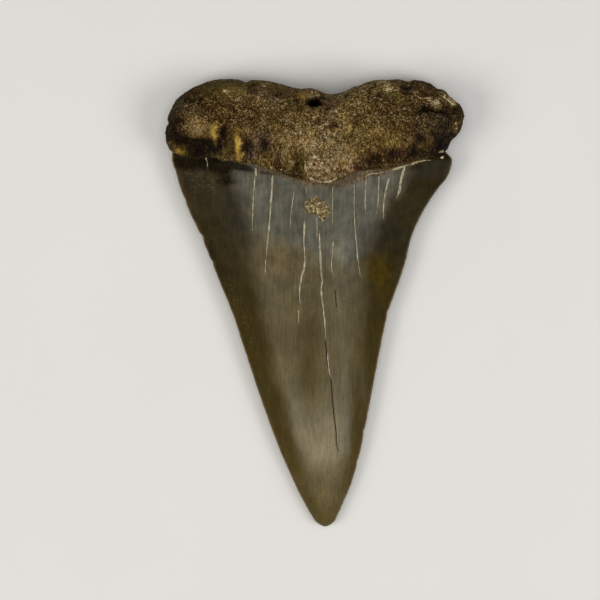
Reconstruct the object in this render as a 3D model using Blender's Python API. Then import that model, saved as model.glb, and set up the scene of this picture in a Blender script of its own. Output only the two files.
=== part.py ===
"""A fossil mako shark tooth, lying on its flat labial face with its rounded lingual face up.

The tooth grew as one piece, so it is one solid: a blade-like enamel crown, the thick
two-lobed root that it grew from, and two crusts of sediment cemented to it.

Frame: +Z is up, away from the resting surface. +Y runs from the crown's tip to the root.
The origin is on the resting surface, below the middle of the tooth.
The tables below are in millimetres. MM turns them into Blender's metres.
"""

import math

import bmesh
import bpy
import numpy as np
from mathutils import Vector, noise

MM = 0.001

# The crown seen from above, from inside the left shoulder, round the tip, to inside the right
# shoulder. The first and last points are buried in the root.
CROWN_OUTLINE = (
    (-18.4, 24.2), (-20.2, 22.8), (-20.7, 21.0), (-20.0, 18.3), (-19.3, 16.0), (-18.0, 12.7),
    (-16.4, 9.3), (-15.0, 5.9), (-13.6, 2.4), (-12.2, -1.0), (-9.9, -7.9), (-7.6, -14.7),
    (-5.0, -21.6), (-3.5, -25.0), (-1.8, -28.5), (-0.8, -30.2), (0.1, -31.4), (1.3, -32.0),
    (2.5, -31.4), (3.2, -30.2), (4.0, -28.5), (5.4, -25.0), (6.3, -21.6), (7.7, -14.7),
    (9.0, -7.9), (10.5, -1.0), (11.7, 2.4), (12.9, 5.9), (13.7, 9.3), (15.2, 12.7),
    (17.4, 16.2), (18.7, 18.4), (19.0, 20.2), (18.3, 21.4), (16.9, 23.2), (15.6, 24.2),
)
TIP_INDEX = 17

# The crown's heights along its length: the cutting edges' height above the surface, how far the
# lingual face swells above them, and how far the labial face lies below them.
CROWN_STATIONS = (-32.0, -31.7, -31.0, -29.0, -26.0, -20.0, -10.0, 0.0, 10.0, 18.0, 24.2)
EDGE_HEIGHT = (1.2, 1.2, 1.25, 1.3, 1.4, 1.7, 2.0, 2.2, 2.5, 2.8, 3.0)
LINGUAL_SWELL = (0.0, 0.7, 1.25, 1.95, 2.6, 3.4, 4.4, 5.2, 5.7, 5.6, 5.2)
LABIAL_DEPTH = (0.0, 0.6, 1.1, 1.4, 1.55, 1.45, 1.15, 1.2, 1.6, 2.1, 2.2)
SWELL_POWER = 1.15
LABIAL_POWER = 3.5
ENAMEL_FOOT_START = 20.0
ENAMEL_FOOT_BOW = 2.0

# The root seen from above, from the end of the left lobe to the end of the right one: its basal
# edge, away from the tip, and its gum line, where it stands over the crown.
BASAL_EDGE = (
    (-21.3, 24.3), (-21.0, 26.6), (-19.9, 28.9), (-18.0, 30.6), (-15.9, 31.6), (-13.0, 32.0),
    (-10.7, 31.8), (-7.7, 31.7), (-4.9, 31.2), (-2.3, 30.6), (0.0, 30.3), (2.0, 29.9),
    (4.1, 30.3), (6.3, 31.0), (8.6, 31.8), (11.4, 31.9), (14.9, 31.6), (17.3, 30.9),
    (19.4, 29.5), (20.7, 28.2), (21.3, 26.7),
)
GUM_LINE = (
    (-21.3, 24.3), (-21.4, 23.2), (-20.7, 22.0), (-18.7, 21.3), (-15.9, 20.9), (-13.0, 20.0),
    (-10.2, 19.1), (-6.6, 18.0), (-3.0, 16.9), (0.3, 16.3), (2.7, 16.6), (4.9, 17.3),
    (7.4, 18.1), (10.6, 19.0), (13.4, 19.8), (16.3, 20.4), (18.3, 21.5), (19.0, 22.9),
    (20.0, 24.2), (20.9, 25.5), (21.3, 26.7),
)

# The root's heights across its width: its crest, and its girdle along the gum line and along the
# basal edge, where the lingual side turns into the labial side.
ROOT_STATIONS = (-21.4, -19.0, -14.0, -8.0, 0.0, 8.0, 14.0, 19.0, 21.4)
CREST_HEIGHT = (6.4, 7.4, 8.9, 10.5, 12.0, 10.8, 9.4, 7.8, 6.6)
GUM_GIRDLE = (3.0, 3.0, 4.3, 6.2, 7.5, 6.4, 4.6, 3.0, 3.2)
BASAL_GIRDLE = (3.4, 3.6, 3.9, 4.2, 4.4, 4.2, 3.9, 3.6, 3.4)

# The root's labial side: it rests on both lobes and arches up between them. At the neck it
# draws in over the crown, from one share of the way to the basal edge to the other.
LABIAL_HEIGHT = (0.1, -0.8, -1.0, -0.2, 0.7, -0.1, -0.9, -0.8, 0.1)
NECK_HEIGHT = 1.9
NECK_SHARE, LABIAL_SHARE = 0.38, 0.52

LOBE_ROUNDING = 0.13
CREST_LEAN = 0.78
LINGUAL_SQUARENESS, LABIAL_SQUARENESS = 2.15, 3.2

# Lumps all over the root: wavelength and lift of each layer. Its outline from above is calmer.
ROOT_LUMPS = ((5.5, 0.6), (2.6, 0.4), (1.3, 0.2))
OUTLINE_CALM = 0.4

# Raised and hollowed places on the root's lingual side:
# x, y, half length, half width, bearing of the length in degrees from +X, lift.
ROOT_PLACES = (
    (-16.2, 22.2, 2.4, 1.1, -8.0, -1.3),
    (-14.2, 24.0, 1.5, 0.55, 80.0, 0.8),
    (-12.9, 23.8, 1.7, 0.5, 92.0, -0.6),
    (-11.2, 22.3, 2.4, 0.6, 93.0, 0.9),
    (-9.5, 22.6, 1.5, 0.6, 88.0, -0.45),
    (-7.1, 22.2, 1.3, 0.6, 85.0, -0.3),
    (-19.3, 21.9, 1.3, 0.5, -20.0, 0.5),
    (-20.7, 25.8, 0.5, 0.5, 0.0, -0.5),
    (-17.1, 29.4, 1.2, 0.35, 20.0, -0.55),
    (-9.9, 31.5, 0.4, 0.9, 0.0, -0.45),
    (-0.2, 30.3, 1.2, 0.7, 0.0, 0.35),
    (10.8, 31.2, 1.3, 0.5, 0.0, 0.4),
    (13.2, 31.1, 0.9, 0.5, 0.0, -0.5),
    (15.9, 27.9, 1.3, 0.55, -10.0, -0.9),
    (16.6, 29.2, 1.7, 0.45, -12.0, 0.5),
    (19.4, 28.3, 2.0, 0.55, -38.0, 0.5),
    (18.2, 23.0, 1.7, 0.9, 30.0, -0.8),
    (11.4, 21.2, 2.2, 0.7, 14.0, -0.55),
)

# The foramen, a small hole at the notch between the lobes.
FORAMEN_CENTRE = (-0.3, 28.6, 10.2)
FORAMEN_RADII = (1.05, 0.5, 2.2)

# Crusts of sediment cemented on, as knobbly lumps half buried in the tooth: centre and radii.
CRUSTS = (
    ("crust on the crown", (0.15, 13.7, 7.5), (2.0, 1.65, 1.35)),
    ("crust on the gum line", (0.1, 18.9, 9.9), (2.8, 2.6, 1.9)),
)
CRUST_KNOB_LENGTH, CRUST_KNOB_LIFT = 0.8, 0.35

CROWN_ROWS, CROWN_TOP_COLUMNS, CROWN_UNDER_COLUMNS = 50, 20, 10
ROOT_SECTIONS, ROOT_LINGUAL_RING, ROOT_LABIAL_RING = 78, 25, 12
TIP_CROWDING = 1.7
LOBE_CROWDING = 0.6
CUTTING_EDGE_ANGLE = math.radians(50)


def clear_scene():
    for obj in list(bpy.data.objects):
        bpy.data.objects.remove(obj, do_unlink=True)


def smooth_step(low, high, value):
    share = np.clip((value - low) / (high - low), 0, 1)
    return share * share * (3 - 2 * share)


def spline(at, knots, values):
    """A smooth curve through the values at ascending knots, read at the places in at."""
    at, knots, values = (np.asarray(given, float) for given in (at, knots, values))
    slopes = np.gradient(values, knots, axis=0)
    i = np.clip(np.searchsorted(knots, at) - 1, 0, len(knots) - 2)
    step = knots[i + 1] - knots[i]
    t = (at - knots[i]) / step
    if values.ndim > 1:
        t, step = t[:, None], step[:, None]
    start = (1 + 2 * t) * (1 - t) ** 2 * values[i] + t * (1 - t) ** 2 * step * slopes[i]
    end = t * t * (3 - 2 * t) * values[i + 1] + t * t * (t - 1) * step * slopes[i + 1]
    return start + end


def along(points, shares):
    """Points at these shares of the length of a smooth line through the given points."""
    points = np.asarray(points, float)
    steps = np.linalg.norm(np.diff(points, axis=0), axis=1)
    knots = np.concatenate([[0], np.cumsum(steps)])
    return spline(np.asarray(shares) * knots[-1], knots, points)


def crown_edges(y):
    """The x of the crown's left and right cutting edges at each y."""
    outline = np.asarray(CROWN_OUTLINE)
    steps = np.linalg.norm(np.diff(outline, axis=0), axis=1)
    tip_share = steps[:TIP_INDEX].sum() / steps.sum()
    left = along(CROWN_OUTLINE, np.linspace(tip_share, 0, 600))
    right = along(CROWN_OUTLINE, np.linspace(tip_share, 1, 600))
    return np.interp(y, left[:, 1], left[:, 0]), np.interp(y, right[:, 1], right[:, 0])


def crown_faces(y, across):
    """The crown's x and the heights of its two faces, at y and from -1 to 1 across."""
    left, right = crown_edges(y)
    x = (left + right) / 2 + across * (right - left) / 2
    edge = spline(y, CROWN_STATIONS, EDGE_HEIGHT)
    swell = spline(y, CROWN_STATIONS, LINGUAL_SWELL)
    depth = spline(y, CROWN_STATIONS, LABIAL_DEPTH)
    inside = np.clip(1 - across**2, 0, 1)
    lingual = edge + swell * inside**SWELL_POWER
    labial = edge - depth * (1 - np.abs(across) ** LABIAL_POWER)
    return x, lingual, labial


def loft(name, rings):
    """A closed mesh through rings of equally many points, capped at both ends."""
    built = bmesh.new()
    made = [[built.verts.new(point) for point in ring] for ring in rings]
    for low, high in zip(made, made[1:]):
        for i in range(len(low)):
            j = (i + 1) % len(low)
            built.faces.new((low[i], low[j], high[j], high[i]))
    built.faces.new(made[0])
    built.faces.new(made[-1])
    bmesh.ops.recalc_face_normals(built, faces=built.faces)
    mesh = bpy.data.meshes.new(name)
    built.to_mesh(mesh)
    built.free()
    return mesh


def crown_mesh():
    """The crown: level rows of lens-shaped sections, closer together near the tip."""
    tip, base = CROWN_OUTLINE[TIP_INDEX][1], CROWN_OUTLINE[0][1]
    shares = (np.arange(CROWN_ROWS) + 0.5) / (CROWN_ROWS - 0.5)
    rings = []
    for y in tip + (base - tip) * shares**TIP_CROWDING:
        top = np.sin(np.linspace(-math.pi / 2, math.pi / 2, CROWN_TOP_COLUMNS + 1))
        under = np.linspace(1, -1, CROWN_UNDER_COLUMNS + 1)[1:-1]
        across = np.concatenate([top, under])
        x, lingual, labial = crown_faces(np.full(len(across), y), across)
        z = np.where(np.arange(len(across)) < len(top), lingual, labial)
        bow = ENAMEL_FOOT_BOW * (1 - across**2) * smooth_step(ENAMEL_FOOT_START, base, y)
        rings.append(np.stack([x, y - bow, np.maximum(z, 0)], 1) * MM)
    return loft("crown", rings)


def root_section(share):
    """One ring of the root, across it from the gum line over the crest and back underneath."""
    gum, basal = along(GUM_LINE, [share])[0], along(BASAL_EDGE, [share])[0]
    x = (gum[0] + basal[0]) / 2
    crest, gum_girdle, basal_girdle, labial_floor = (
        spline([x], ROOT_STATIONS, heights)[0]
        for heights in (CREST_HEIGHT, GUM_GIRDLE, BASAL_GIRDLE, LABIAL_HEIGHT)
    )
    end = np.clip(min(share, 1 - share) / LOBE_ROUNDING, 0, 1)
    fullness = math.sqrt(1 - (1 - end) ** 2)
    over = np.linspace(0, math.pi, ROOT_LINGUAL_RING, endpoint=False)
    under = np.linspace(math.pi, 2 * math.pi, ROOT_LABIAL_RING, endpoint=False)
    angle = np.concatenate([over, under])
    lingual = np.arange(len(angle)) < len(over)
    squareness = np.where(lingual, LINGUAL_SQUARENESS, LABIAL_SQUARENESS)
    reach = np.sign(np.cos(angle)) * np.abs(np.cos(angle)) ** (2 / squareness)
    rise = np.abs(np.sin(angle)) ** (2 / squareness) * fullness
    across = ((1 - reach) / 2) ** (1 / CREST_LEAN)
    girdle = gum_girdle + (basal_girdle - gum_girdle) * across
    drawn_in = smooth_step(NECK_SHARE, LABIAL_SHARE, across)
    labial = NECK_HEIGHT + (labial_floor - NECK_HEIGHT) * drawn_in
    z = girdle + (np.where(lingual, crest, labial) - girdle) * rise
    plan = gum + (basal - gum) * across[:, None]
    return np.column_stack([plan, z])


def place_lift(x, y):
    """The lift of the raised and hollowed places at a point in plan."""
    lift = 0.0
    for centre_x, centre_y, half_length, half_width, bearing, height in ROOT_PLACES:
        turn = math.radians(bearing)
        dx, dy = x - centre_x, y - centre_y
        length = (dx * math.cos(turn) + dy * math.sin(turn)) / half_length
        width = (dy * math.cos(turn) - dx * math.sin(turn)) / half_width
        lift += height * math.exp(-(length**2 + width**2))
    return lift


def root_mesh():
    """The root: sections from one lobe's end to the other's, made lumpy, and flat underneath."""
    shares = (np.arange(ROOT_SECTIONS) + 0.5) / ROOT_SECTIONS
    shares = shares - LOBE_CROWDING * np.sin(2 * math.pi * shares) / (2 * math.pi)
    mesh = loft("root", [root_section(share) * MM for share in shares])
    moved = []
    for vertex in mesh.vertices:
        place = Vector(vertex.co) / MM
        lift = sum(depth * noise.noise(place / length) for length, depth in ROOT_LUMPS)
        lift *= OUTLINE_CALM + (1 - OUTLINE_CALM) * abs(vertex.normal.z)
        lift += place_lift(place.x, place.y) * smooth_step(0, 0.5, vertex.normal.z)
        moved.append(vertex.co + vertex.normal * lift * MM)
    for vertex, place in zip(mesh.vertices, moved):
        vertex.co = (place.x, place.y, max(place.z, 0))
    return mesh


def ball(name, centre, radii, detail):
    """A ball-like mesh of these radii about a centre, all in millimetres."""
    built = bmesh.new()
    bmesh.ops.create_icosphere(built, subdivisions=detail, radius=1)
    for vertex in built.verts:
        vertex.co = Vector(c + r * v for c, r, v in zip(centre, radii, vertex.co)) * MM
    mesh = bpy.data.meshes.new(name)
    built.to_mesh(mesh)
    built.free()
    return mesh


def crust_mesh(name, centre, radii):
    """A knobbly lump of sediment."""
    mesh = ball(name, centre, radii, 4)
    for vertex in mesh.vertices:
        knob = noise.noise(vertex.co / MM / CRUST_KNOB_LENGTH) * CRUST_KNOB_LIFT
        vertex.co += (vertex.co / MM - Vector(centre)).normalized() * knob * MM
    return mesh


def material(name, colour, roughness):
    made = bpy.data.materials.new(name)
    made.use_nodes = True
    shader = made.node_tree.nodes["Principled BSDF"]
    shader.inputs["Base Color"].default_value = (*colour, 1)
    shader.inputs["Roughness"].default_value = roughness
    shader.inputs["Metallic"].default_value = 0
    return made


def add(name, mesh, finish, collection):
    made = bpy.data.objects.new(name, mesh)
    mesh.materials.append(finish)
    mesh.shade_smooth()
    mesh.set_sharp_from_angle(angle=CUTTING_EDGE_ANGLE)
    collection.objects.link(made)
    return made


def helper(obj):
    """Keeps a shape that is only joined to or cut from the tooth out of the render."""
    obj.hide_render = True
    obj.display_type = "WIRE"
    return obj


def boolean(obj, other, operation):
    modifier = obj.modifiers.new(f"{operation.lower()} {other.name}", "BOOLEAN")
    modifier.operation = operation
    modifier.object = other
    modifier.solver = "EXACT"
    modifier.material_mode = "TRANSFER"


def collection(name):
    made = bpy.data.collections.new(name)
    bpy.context.scene.collection.children.link(made)
    return made


def main():
    clear_scene()
    parts = collection("fossil shark tooth")
    helpers = collection("shapes joined to the tooth")
    enamel = material("enamel", (0.085, 0.07, 0.04), 0.3)
    bone = material("root bone", (0.1, 0.064, 0.025), 0.9)
    sediment = material("sediment", (0.16, 0.12, 0.06), 0.95)
    tooth = add("tooth", crown_mesh(), enamel, parts)
    root = helper(add("root", root_mesh(), bone, helpers))
    boolean(tooth, root, "UNION")
    for name, centre, radii in CRUSTS:
        crust = helper(add(name, crust_mesh(name, centre, radii), sediment, helpers))
        boolean(tooth, crust, "UNION")
    foramen = ball("foramen", FORAMEN_CENTRE, FORAMEN_RADII, 3)
    boolean(tooth, helper(add("foramen", foramen, bone, helpers)), "DIFFERENCE")
    tooth.modifiers.new("even shading", "WEIGHTED_NORMAL").keep_sharp = True


main()
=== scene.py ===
"""The looks of a fossil mako shark tooth, lying on its flat labial face, seen from above.

Its crown, root and sediment are fine meshes with the same forms and the same frame as the solid
that they replace: +Z up, +Y from the crown's tip to the root, origin below the middle.
Tables and lengths are in millimetres. MM turns them into Blender's metres.
"""

import math

import bpy
import numpy as np
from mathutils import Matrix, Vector, noise
from mathutils.bvhtree import BVHTree


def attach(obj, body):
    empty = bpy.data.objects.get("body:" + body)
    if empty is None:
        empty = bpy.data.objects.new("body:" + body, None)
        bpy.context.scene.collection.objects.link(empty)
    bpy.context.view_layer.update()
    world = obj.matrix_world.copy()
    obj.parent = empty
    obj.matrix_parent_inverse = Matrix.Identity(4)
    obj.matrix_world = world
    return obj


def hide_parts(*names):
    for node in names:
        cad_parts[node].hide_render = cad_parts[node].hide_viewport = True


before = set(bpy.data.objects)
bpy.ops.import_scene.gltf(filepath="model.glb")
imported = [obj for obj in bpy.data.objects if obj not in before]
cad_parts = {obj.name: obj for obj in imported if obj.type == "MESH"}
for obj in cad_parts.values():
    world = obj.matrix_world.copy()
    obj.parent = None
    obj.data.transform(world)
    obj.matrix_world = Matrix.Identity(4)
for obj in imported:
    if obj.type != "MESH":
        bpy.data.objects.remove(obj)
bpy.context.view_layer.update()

MM = 0.001

# The crown seen from above, from inside the left shoulder, round the tip, to inside the right
# shoulder. The first and last points are buried in the root.
CROWN_OUTLINE = (
    (-18.4, 24.2), (-20.2, 22.8), (-20.7, 21), (-20, 18.3), (-19.3, 16), (-18, 12.7),
    (-16.4, 9.3), (-15, 5.9), (-13.6, 2.4), (-12.2, -1), (-9.9, -7.9), (-7.6, -14.7),
    (-5, -21.6), (-3.5, -25), (-1.8, -28.5), (-0.8, -30.2), (0.1, -31.4), (1.3, -32),
    (2.5, -31.4), (3.2, -30.2), (4, -28.5), (5.4, -25), (6.3, -21.6), (7.7, -14.7),
    (9, -7.9), (10.5, -1), (11.7, 2.4), (12.9, 5.9), (13.7, 9.3), (15.2, 12.7),
    (17.4, 16.2), (19, 18.3), (19.4, 19.5), (19.5, 20.6), (18.8, 21.4), (16.9, 23.2),
    (15.6, 24.2),
)
TIP_INDEX = 17

# The crown's heights along its length: the cutting edges' height above the surface, how far the
# lingual face swells above them, and how far the labial face lies below them.
CROWN_STATIONS = (-32, -31.7, -31, -29, -26, -20, -10, 0, 10, 18, 24.2)
EDGE_HEIGHT = (1.2, 1.2, 1.25, 1.3, 1.4, 1.7, 2, 2.2, 2.5, 2.8, 3)
LINGUAL_SWELL = (0, 0.7, 1.25, 1.95, 2.6, 3.4, 4.4, 5.2, 5.7, 5.6, 5.2)
LABIAL_DEPTH = (0, 0.6, 1.1, 1.4, 1.55, 1.45, 1.15, 1.2, 1.6, 2.1, 2.2)
SWELL_POWER, LABIAL_POWER = 1.15, 3.5

# Where the crown's rows start to bow towards the tip, hidden in the root, and by how much.
ENAMEL_FOOT_START, ENAMEL_FOOT_BOW = 20.0, 2.0

# The root seen from above, from the end of the left lobe to the end of the right one: its basal
# edge, away from the tip, and its gum line, where it stands over the crown.
BASAL_EDGE = (
    (-21.3, 24.3), (-21, 26.6), (-19.9, 28.9), (-18, 30.6), (-15.9, 31.6), (-13, 32),
    (-10.7, 31.8), (-7.7, 31.7), (-4.9, 31.2), (-2.3, 30.6), (0, 30.3), (2, 29.9),
    (4.1, 30.3), (6.3, 31), (8.6, 31.8), (11.4, 31.9), (14.9, 31.6), (17.3, 30.9),
    (19.4, 29.5), (20.7, 28.2), (21.3, 26.7),
)
GUM_LINE = (
    (-21.3, 24.3), (-21.4, 23.1), (-20.8, 21.9), (-18.6, 20.9), (-15.9, 20.9), (-13, 20.2),
    (-10.2, 19.6), (-6.6, 18.9), (-3.2, 17.8), (-1, 17.1), (0.3, 16.9), (1.6, 16.9),
    (2.7, 17.3), (4.9, 18.3), (7.4, 18.9), (10.6, 19.3), (13.4, 20.1), (16.3, 20.6),
    (18.3, 21.6), (19.1, 22.9), (20, 24.2), (20.9, 25.5), (21.3, 26.7),
)

# The root's heights across its width: its crest, and its girdle along the gum line and along the
# basal edge, where the lingual side turns into the labial side.
ROOT_STATIONS = (-21.4, -19, -14, -8, 0, 8, 14, 19, 21.4)
CREST_HEIGHT = (6.4, 7.4, 8.9, 10.5, 12, 10.8, 9.4, 7.8, 6.6)
GUM_GIRDLE = (3, 3, 4.3, 6.2, 7.5, 6.4, 4.6, 3, 3.2)
BASAL_GIRDLE = (3.4, 3.6, 3.9, 4.2, 4.4, 4.2, 3.9, 3.6, 3.4)

# The root's labial side: it rests on both lobes and arches up between them. At the neck it
# draws in over the crown, from one share of the way to the basal edge to the other.
LABIAL_HEIGHT = (0.1, -0.8, -1, -0.2, 0.7, -0.1, -0.9, -0.8, 0.1)
NECK_HEIGHT = 1.9
NECK_SHARE, LABIAL_SHARE = 0.38, 0.52

# The share of the root's length over which each lobe rounds off, how far the crest leans towards
# the basal edge, and how square the lingual and the labial half of a section are.
LOBE_ROUNDING, CREST_LEAN = 0.13, 0.78
LINGUAL_SQUARENESS, LABIAL_SQUARENESS = 2.15, 3.2

# Lumps all over the root: each layer's wavelength, lift and seed. Its outline from above is
# calmer, down to a share of them.
ROOT_LUMPS = ((5.5, 0.6, 0), (2.6, 0.4, 0), (1.3, 0.2, 0))
OUTLINE_CALM = 0.4

# Raised and hollowed places on the root's lingual side:
# x, y, half length, half width, bearing of the length in degrees from +X, lift.
ROOT_PLACES = (
    (-16.9, 25.4, 2.2, 2, 0, 0.6), (-16.4, 22, 2, 1.05, -8, -1.3),
    (-14.4, 24.2, 1.5, 0.7, 86, 0.5), (-13.2, 24.2, 1.5, 0.4, 92, -0.8),
    (-13, 21.8, 1.3, 0.35, 90, 0.4), (-11, 22.4, 2.4, 0.7, 92, 0.55),
    (-9.8, 22.2, 1.5, 0.5, 88, -0.6), (-7.4, 22.3, 1.1, 0.7, 88, -0.5),
    (-19.2, 21.9, 1.6, 0.55, -20, 0.6), (-19.3, 23.4, 1.4, 0.4, -10, -0.6),
    (-13.9, 20.7, 1.8, 0.35, -18, 0.45), (-17, 29.2, 1.1, 0.25, 20, -0.6),
    (-13, 30.2, 0.5, 0.45, 0, 0.35), (-9.6, 31.2, 0.4, 0.9, 0, -0.45),
    (-5.8, 29.5, 0.9, 0.5, 0, -0.3), (-1.9, 29.5, 0.8, 0.6, 0, 0.35),
    (0.3, 30.2, 1.1, 0.5, -10, 0.4), (2.3, 28.6, 0.8, 0.7, 0, -0.4),
    (10.4, 30.8, 1.5, 0.4, -10, 0.5), (12.9, 30.6, 0.9, 0.5, 0, -0.6),
    (15.6, 30.3, 1.5, 0.8, 0, 0.4), (15.9, 29.3, 1.8, 0.22, -8, 0.45),
    (16.2, 27.9, 1.5, 0.5, -6, -1.1), (17.2, 28.5, 0.7, 0.45, 0, 0.8),
    (18.8, 28.9, 1.5, 0.45, -36, 0.7), (18.3, 27.3, 1.6, 0.4, -12, -0.5),
    (18.1, 22.8, 1.3, 0.7, 35, -0.6), (11.3, 21.2, 1.6, 0.6, 8, -0.5),
    (8.2, 20, 1.1, 0.8, 40, -0.35), (-2.6, 19.8, 0.7, 1.8, 0, -0.35),
)

# Bumps and notches in the root's outline: x, y, radius, lift.
ROOT_OUTLINE_BUMPS = (
    (5.2, 31, 0.7, 0.25), (9.6, 32, 1.1, -0.15), (13, 31.8, 0.7, -0.35),
    (15.7, 31.7, 0.9, 0.2), (17.4, 30.9, 0.5, -0.2), (18.4, 30.3, 0.6, 0.15),
    (-21.1, 25.7, 0.3, -0.25), (-20.9, 22.8, 0.3, -0.3), (-10, 31.7, 0.5, -0.3),
    (-0.7, 30.7, 1, 0.25), (20.4, 24.3, 1, 0.25),
)

# The camera looks straight down: the width that it takes in, the middle of the frame, the height
# where that width is measured, its lens, and how near and far it sees, in metres.
FRAME_WIDTH, FRAME_CENTRE, FRAME_HEIGHT = 85.8, (-2.288, 0.429), 3.0
CAMERA_LENS, CAMERA_SENSOR = 500, 36.0
CAMERA_CLIP = (0.01, 10)

# The studio, in metres: each light's name, place, size, power in watts, colour, and whether
# glossy surfaces mirror it.
LIGHTS = (
    ("left", (-0.45, -0.14, 0.5), 0.4, 1.8, (1, 0.98, 0.95), True),
    ("right", (0.45, -0.14, 0.5), 0.4, 1.7, (0.98, 0.98, 1), True),
    ("overhead", (0, 0, 0.8), 0.5, 2, (1, 1, 1), False),
)
WORLD_STRENGTH = 0.16
FLOOR_HALF, FLOOR_GAP = 0.6, 0.0002

# Cracks in the enamel, each as points from the gum line towards the tip, its width, and what
# fills it: "sediment" or nothing, "open". In an open crack a dark ribbon is painted shadow.
CRACKS = (
    (((-8.6, 19.3), (-8.6, 18)), 0.5, "sediment"),
    (((-8.7, 18.2), (-8.8, 16.9), (-8.95, 14.7), (-9.05, 12.6), (-9.1, 10.3)), 0.26, "sediment"),
    (((-6.2, 18.3), (-6.3, 16.2), (-6.5, 13.3), (-6.75, 10.4), (-7, 7.6), (-7.15, 6.2)), 0.38,
     "sediment"),
    (((-7.15, 6.4), (-7.2, 5.2), (-7.3, 4)), 0.18, "sediment"),
    (((-3, 16.9), (-3.3, 14.7), (-3.6, 12.6), (-3.7, 10.4)), 0.15, "sediment"),
    (((-1.43, 16.7), (-1.4, 15.3)), 0.17, "sediment"),
    (((-1.64, 11.9), (-1.72, 9), (-1.72, 5), (-2, 4), (-2.22, 2.9), (-2.36, 0.9),
      (-2.22, -0.15)), 0.34, "sediment"),
    (((-2.5, -1), (-2.52, -2), (-2.53, -2.9)), 0.22, "sediment"),
    (((0.14, 12.3), (0.12, 10.5), (0.14, 9)), 0.13, "sediment"),
    (((0.43, 10.4), (0.57, 7.6), (0.72, 4.7), (0.86, 3.3), (0.72, 1.9), (0.93, 0.1),
      (1.29, -3.1), (1.43, -5.6)), 0.33, "sediment"),
    (((1.3, -5.4), (1.45, -6.6), (1.5, -8), (1.85, -9.6), (2.05, -11)), 0.15, "open"),
    (((1.65, -7), (1.86, -9.6), (2.15, -11)), 0.2, "sediment"),
    (((2.15, -10.9), (2.29, -13.1), (2.5, -15.3), (2.65, -16.7), (2.86, -18.4), (3.07, -20.7),
      (3.29, -21.3)), 0.17, "open"),
    (((2.36, 16.8), (2.36, 14), (2.31, 10.4)), 0.12, "sediment"),
    (((2.45, 8.9), (2.29, 6.9), (2.3, 4.4), (2.57, 3.6)), 0.2, "sediment"),
    (((2.72, 1.9), (2.8, 0.6), (2.93, -0.7)), 0.13, "open"),
    (((5.43, 17.2), (5.45, 14), (5.5, 11.9), (5.72, 9), (6, 5.9), (6.36, 3.7)), 0.2,
     "sediment"),
    (((7.15, 17.9), (7.05, 16), (7, 14.7), (7.05, 12.6)), 0.17, "sediment"),
    (((9, 18.2), (8.9, 16.2), (8.87, 14.7), (8.6, 12.7)), 0.22, "sediment"),
    (((10.45, 18), (10, 16.2), (9.72, 14.7), (9.6, 12)), 0.3, "sediment"),
    (((12.7, 19.6), (12.15, 17.6), (11.6, 15.2), (11.4, 14.9)), 0.46, "sediment"),
    (((-15.6, 20.5), (-15.55, 20.1), (-15.5, 19.4)), 0.1, "sediment"),
)

# How finely the meshes and the curves that shape them are divided, how their rows crowd at the
# tip and their sections at the lobes' ends, and the share of its strip of UVs that a mesh fills.
CROWN_ROWS, CROWN_TOP_COLUMNS, CROWN_UNDER_COLUMNS = 400, 226, 16
ROOT_SECTIONS, ROOT_LINGUAL_RING, ROOT_LABIAL_RING = 480, 162, 44
OUTLINE_SAMPLES, CRACK_SAMPLES, COLUMN_SAMPLES = 600, 80, 1601
TIP_CROWDING, LOBE_CROWDING, STRIP_SHARE = 1.25, 0.25, 0.96

# How strongly the crown's columns crowd at its cutting edges and along the cracks, and how far.
EDGE_CROWDING, EDGE_CROWDING_POWER = 1.5, 10
CRACK_CROWDING, CRACK_REACH = 3.5, 0.22

# How far a crack fades out beyond its ends and before them, its groove's depth, and how far the
# groove and the pale halo beside it spread, in widths of the crack.
CRACK_FADE, CRACK_FADE_INSIDE = 0.8, 0.2
GROOVE_DEPTH = {"sediment": 0.05, "open": 0.08}
GROOVE_SPREAD, HALO_SPREAD = 0.7, 1.6

# Nicks in the cutting edges: side (-1 left, 1 right), y, half length, depth. The slight waves
# along the edges are given as wavelength and depth. Both start at the first y of EDGE_TIP, are
# full from its second, and fade out from the edge to EDGE_ZONE of the way across.
EDGE_NICKS = (
    (-1, 9.5, 0.45, 0.168), (-1, 5.9, 0.35, 0.132), (-1, -7.6, 0.3, 0.072), (-1, 14.9, 0.5, 0.09),
    (1, -1.3, 0.4, 0.12), (1, -18.4, 0.4, 0.12), (1, -22.7, 0.35, 0.096), (1, 6, 0.3, 0.072),
)
EDGE_WAVES, EDGE_WAVE_X = ((1.1, 0.05), (0.45, 0.025)), 9.0
EDGE_TIP, EDGE_ZONE = (-32.0, -29.0), 0.8

# Unevenness of the enamel: wavelengths along x, y and z, lift and seed. It calms down at the
# cutting edges, and the labial face has a share of it.
ENAMEL_RELIEF = (
    ((7, 9, 7), 0.10, 0),
    ((2.2, 6, 3), 0.025, 0),
    ((0.5, 5, 2), 0.006, 0),
)
EDGE_CALM_POWER, LABIAL_RELIEF = 6, 0.6

# The foramen, a small hole at the notch between the lobes: centre, half sizes and depth, where
# its wall starts and ends in half sizes, and how far noise roughens that wall.
FORAMEN_CENTRE, FORAMEN_HALF, FORAMEN_DEPTH = (-0.2, 28.75), (1.2, 0.85), 1.9
FORAMEN_WALL, FORAMEN_ROUGHNESS = (0.55, 1.15), (0.6, 0.25, 3)

# The root bone's fine relief: wavelength and lift of each layer of grain, its seed, its full
# range, its share on the labial side, and how far smooth stains take it away. From the gum line
# to STREAK_REACH of the way across, it is drawn out STREAK_LENGTH times up the root, and changes
# with height by STREAK_RISE.
# The relief also paints shade into the bone's colour: darker in its hollows, lighter on its
# ridges.
BONE_GRAIN = ((0.95, 0.06), (0.45, 0.07), (0.27, 0.10))
GRAIN_SEED, GRAIN_SPAN, LABIAL_GRAIN, MOST_SMOOTH = 7.0, 0.24, 0.45, 0.85
STREAK_LENGTH, STREAK_REACH, STREAK_RISE = 2.6, 0.5, 0.35

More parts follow.
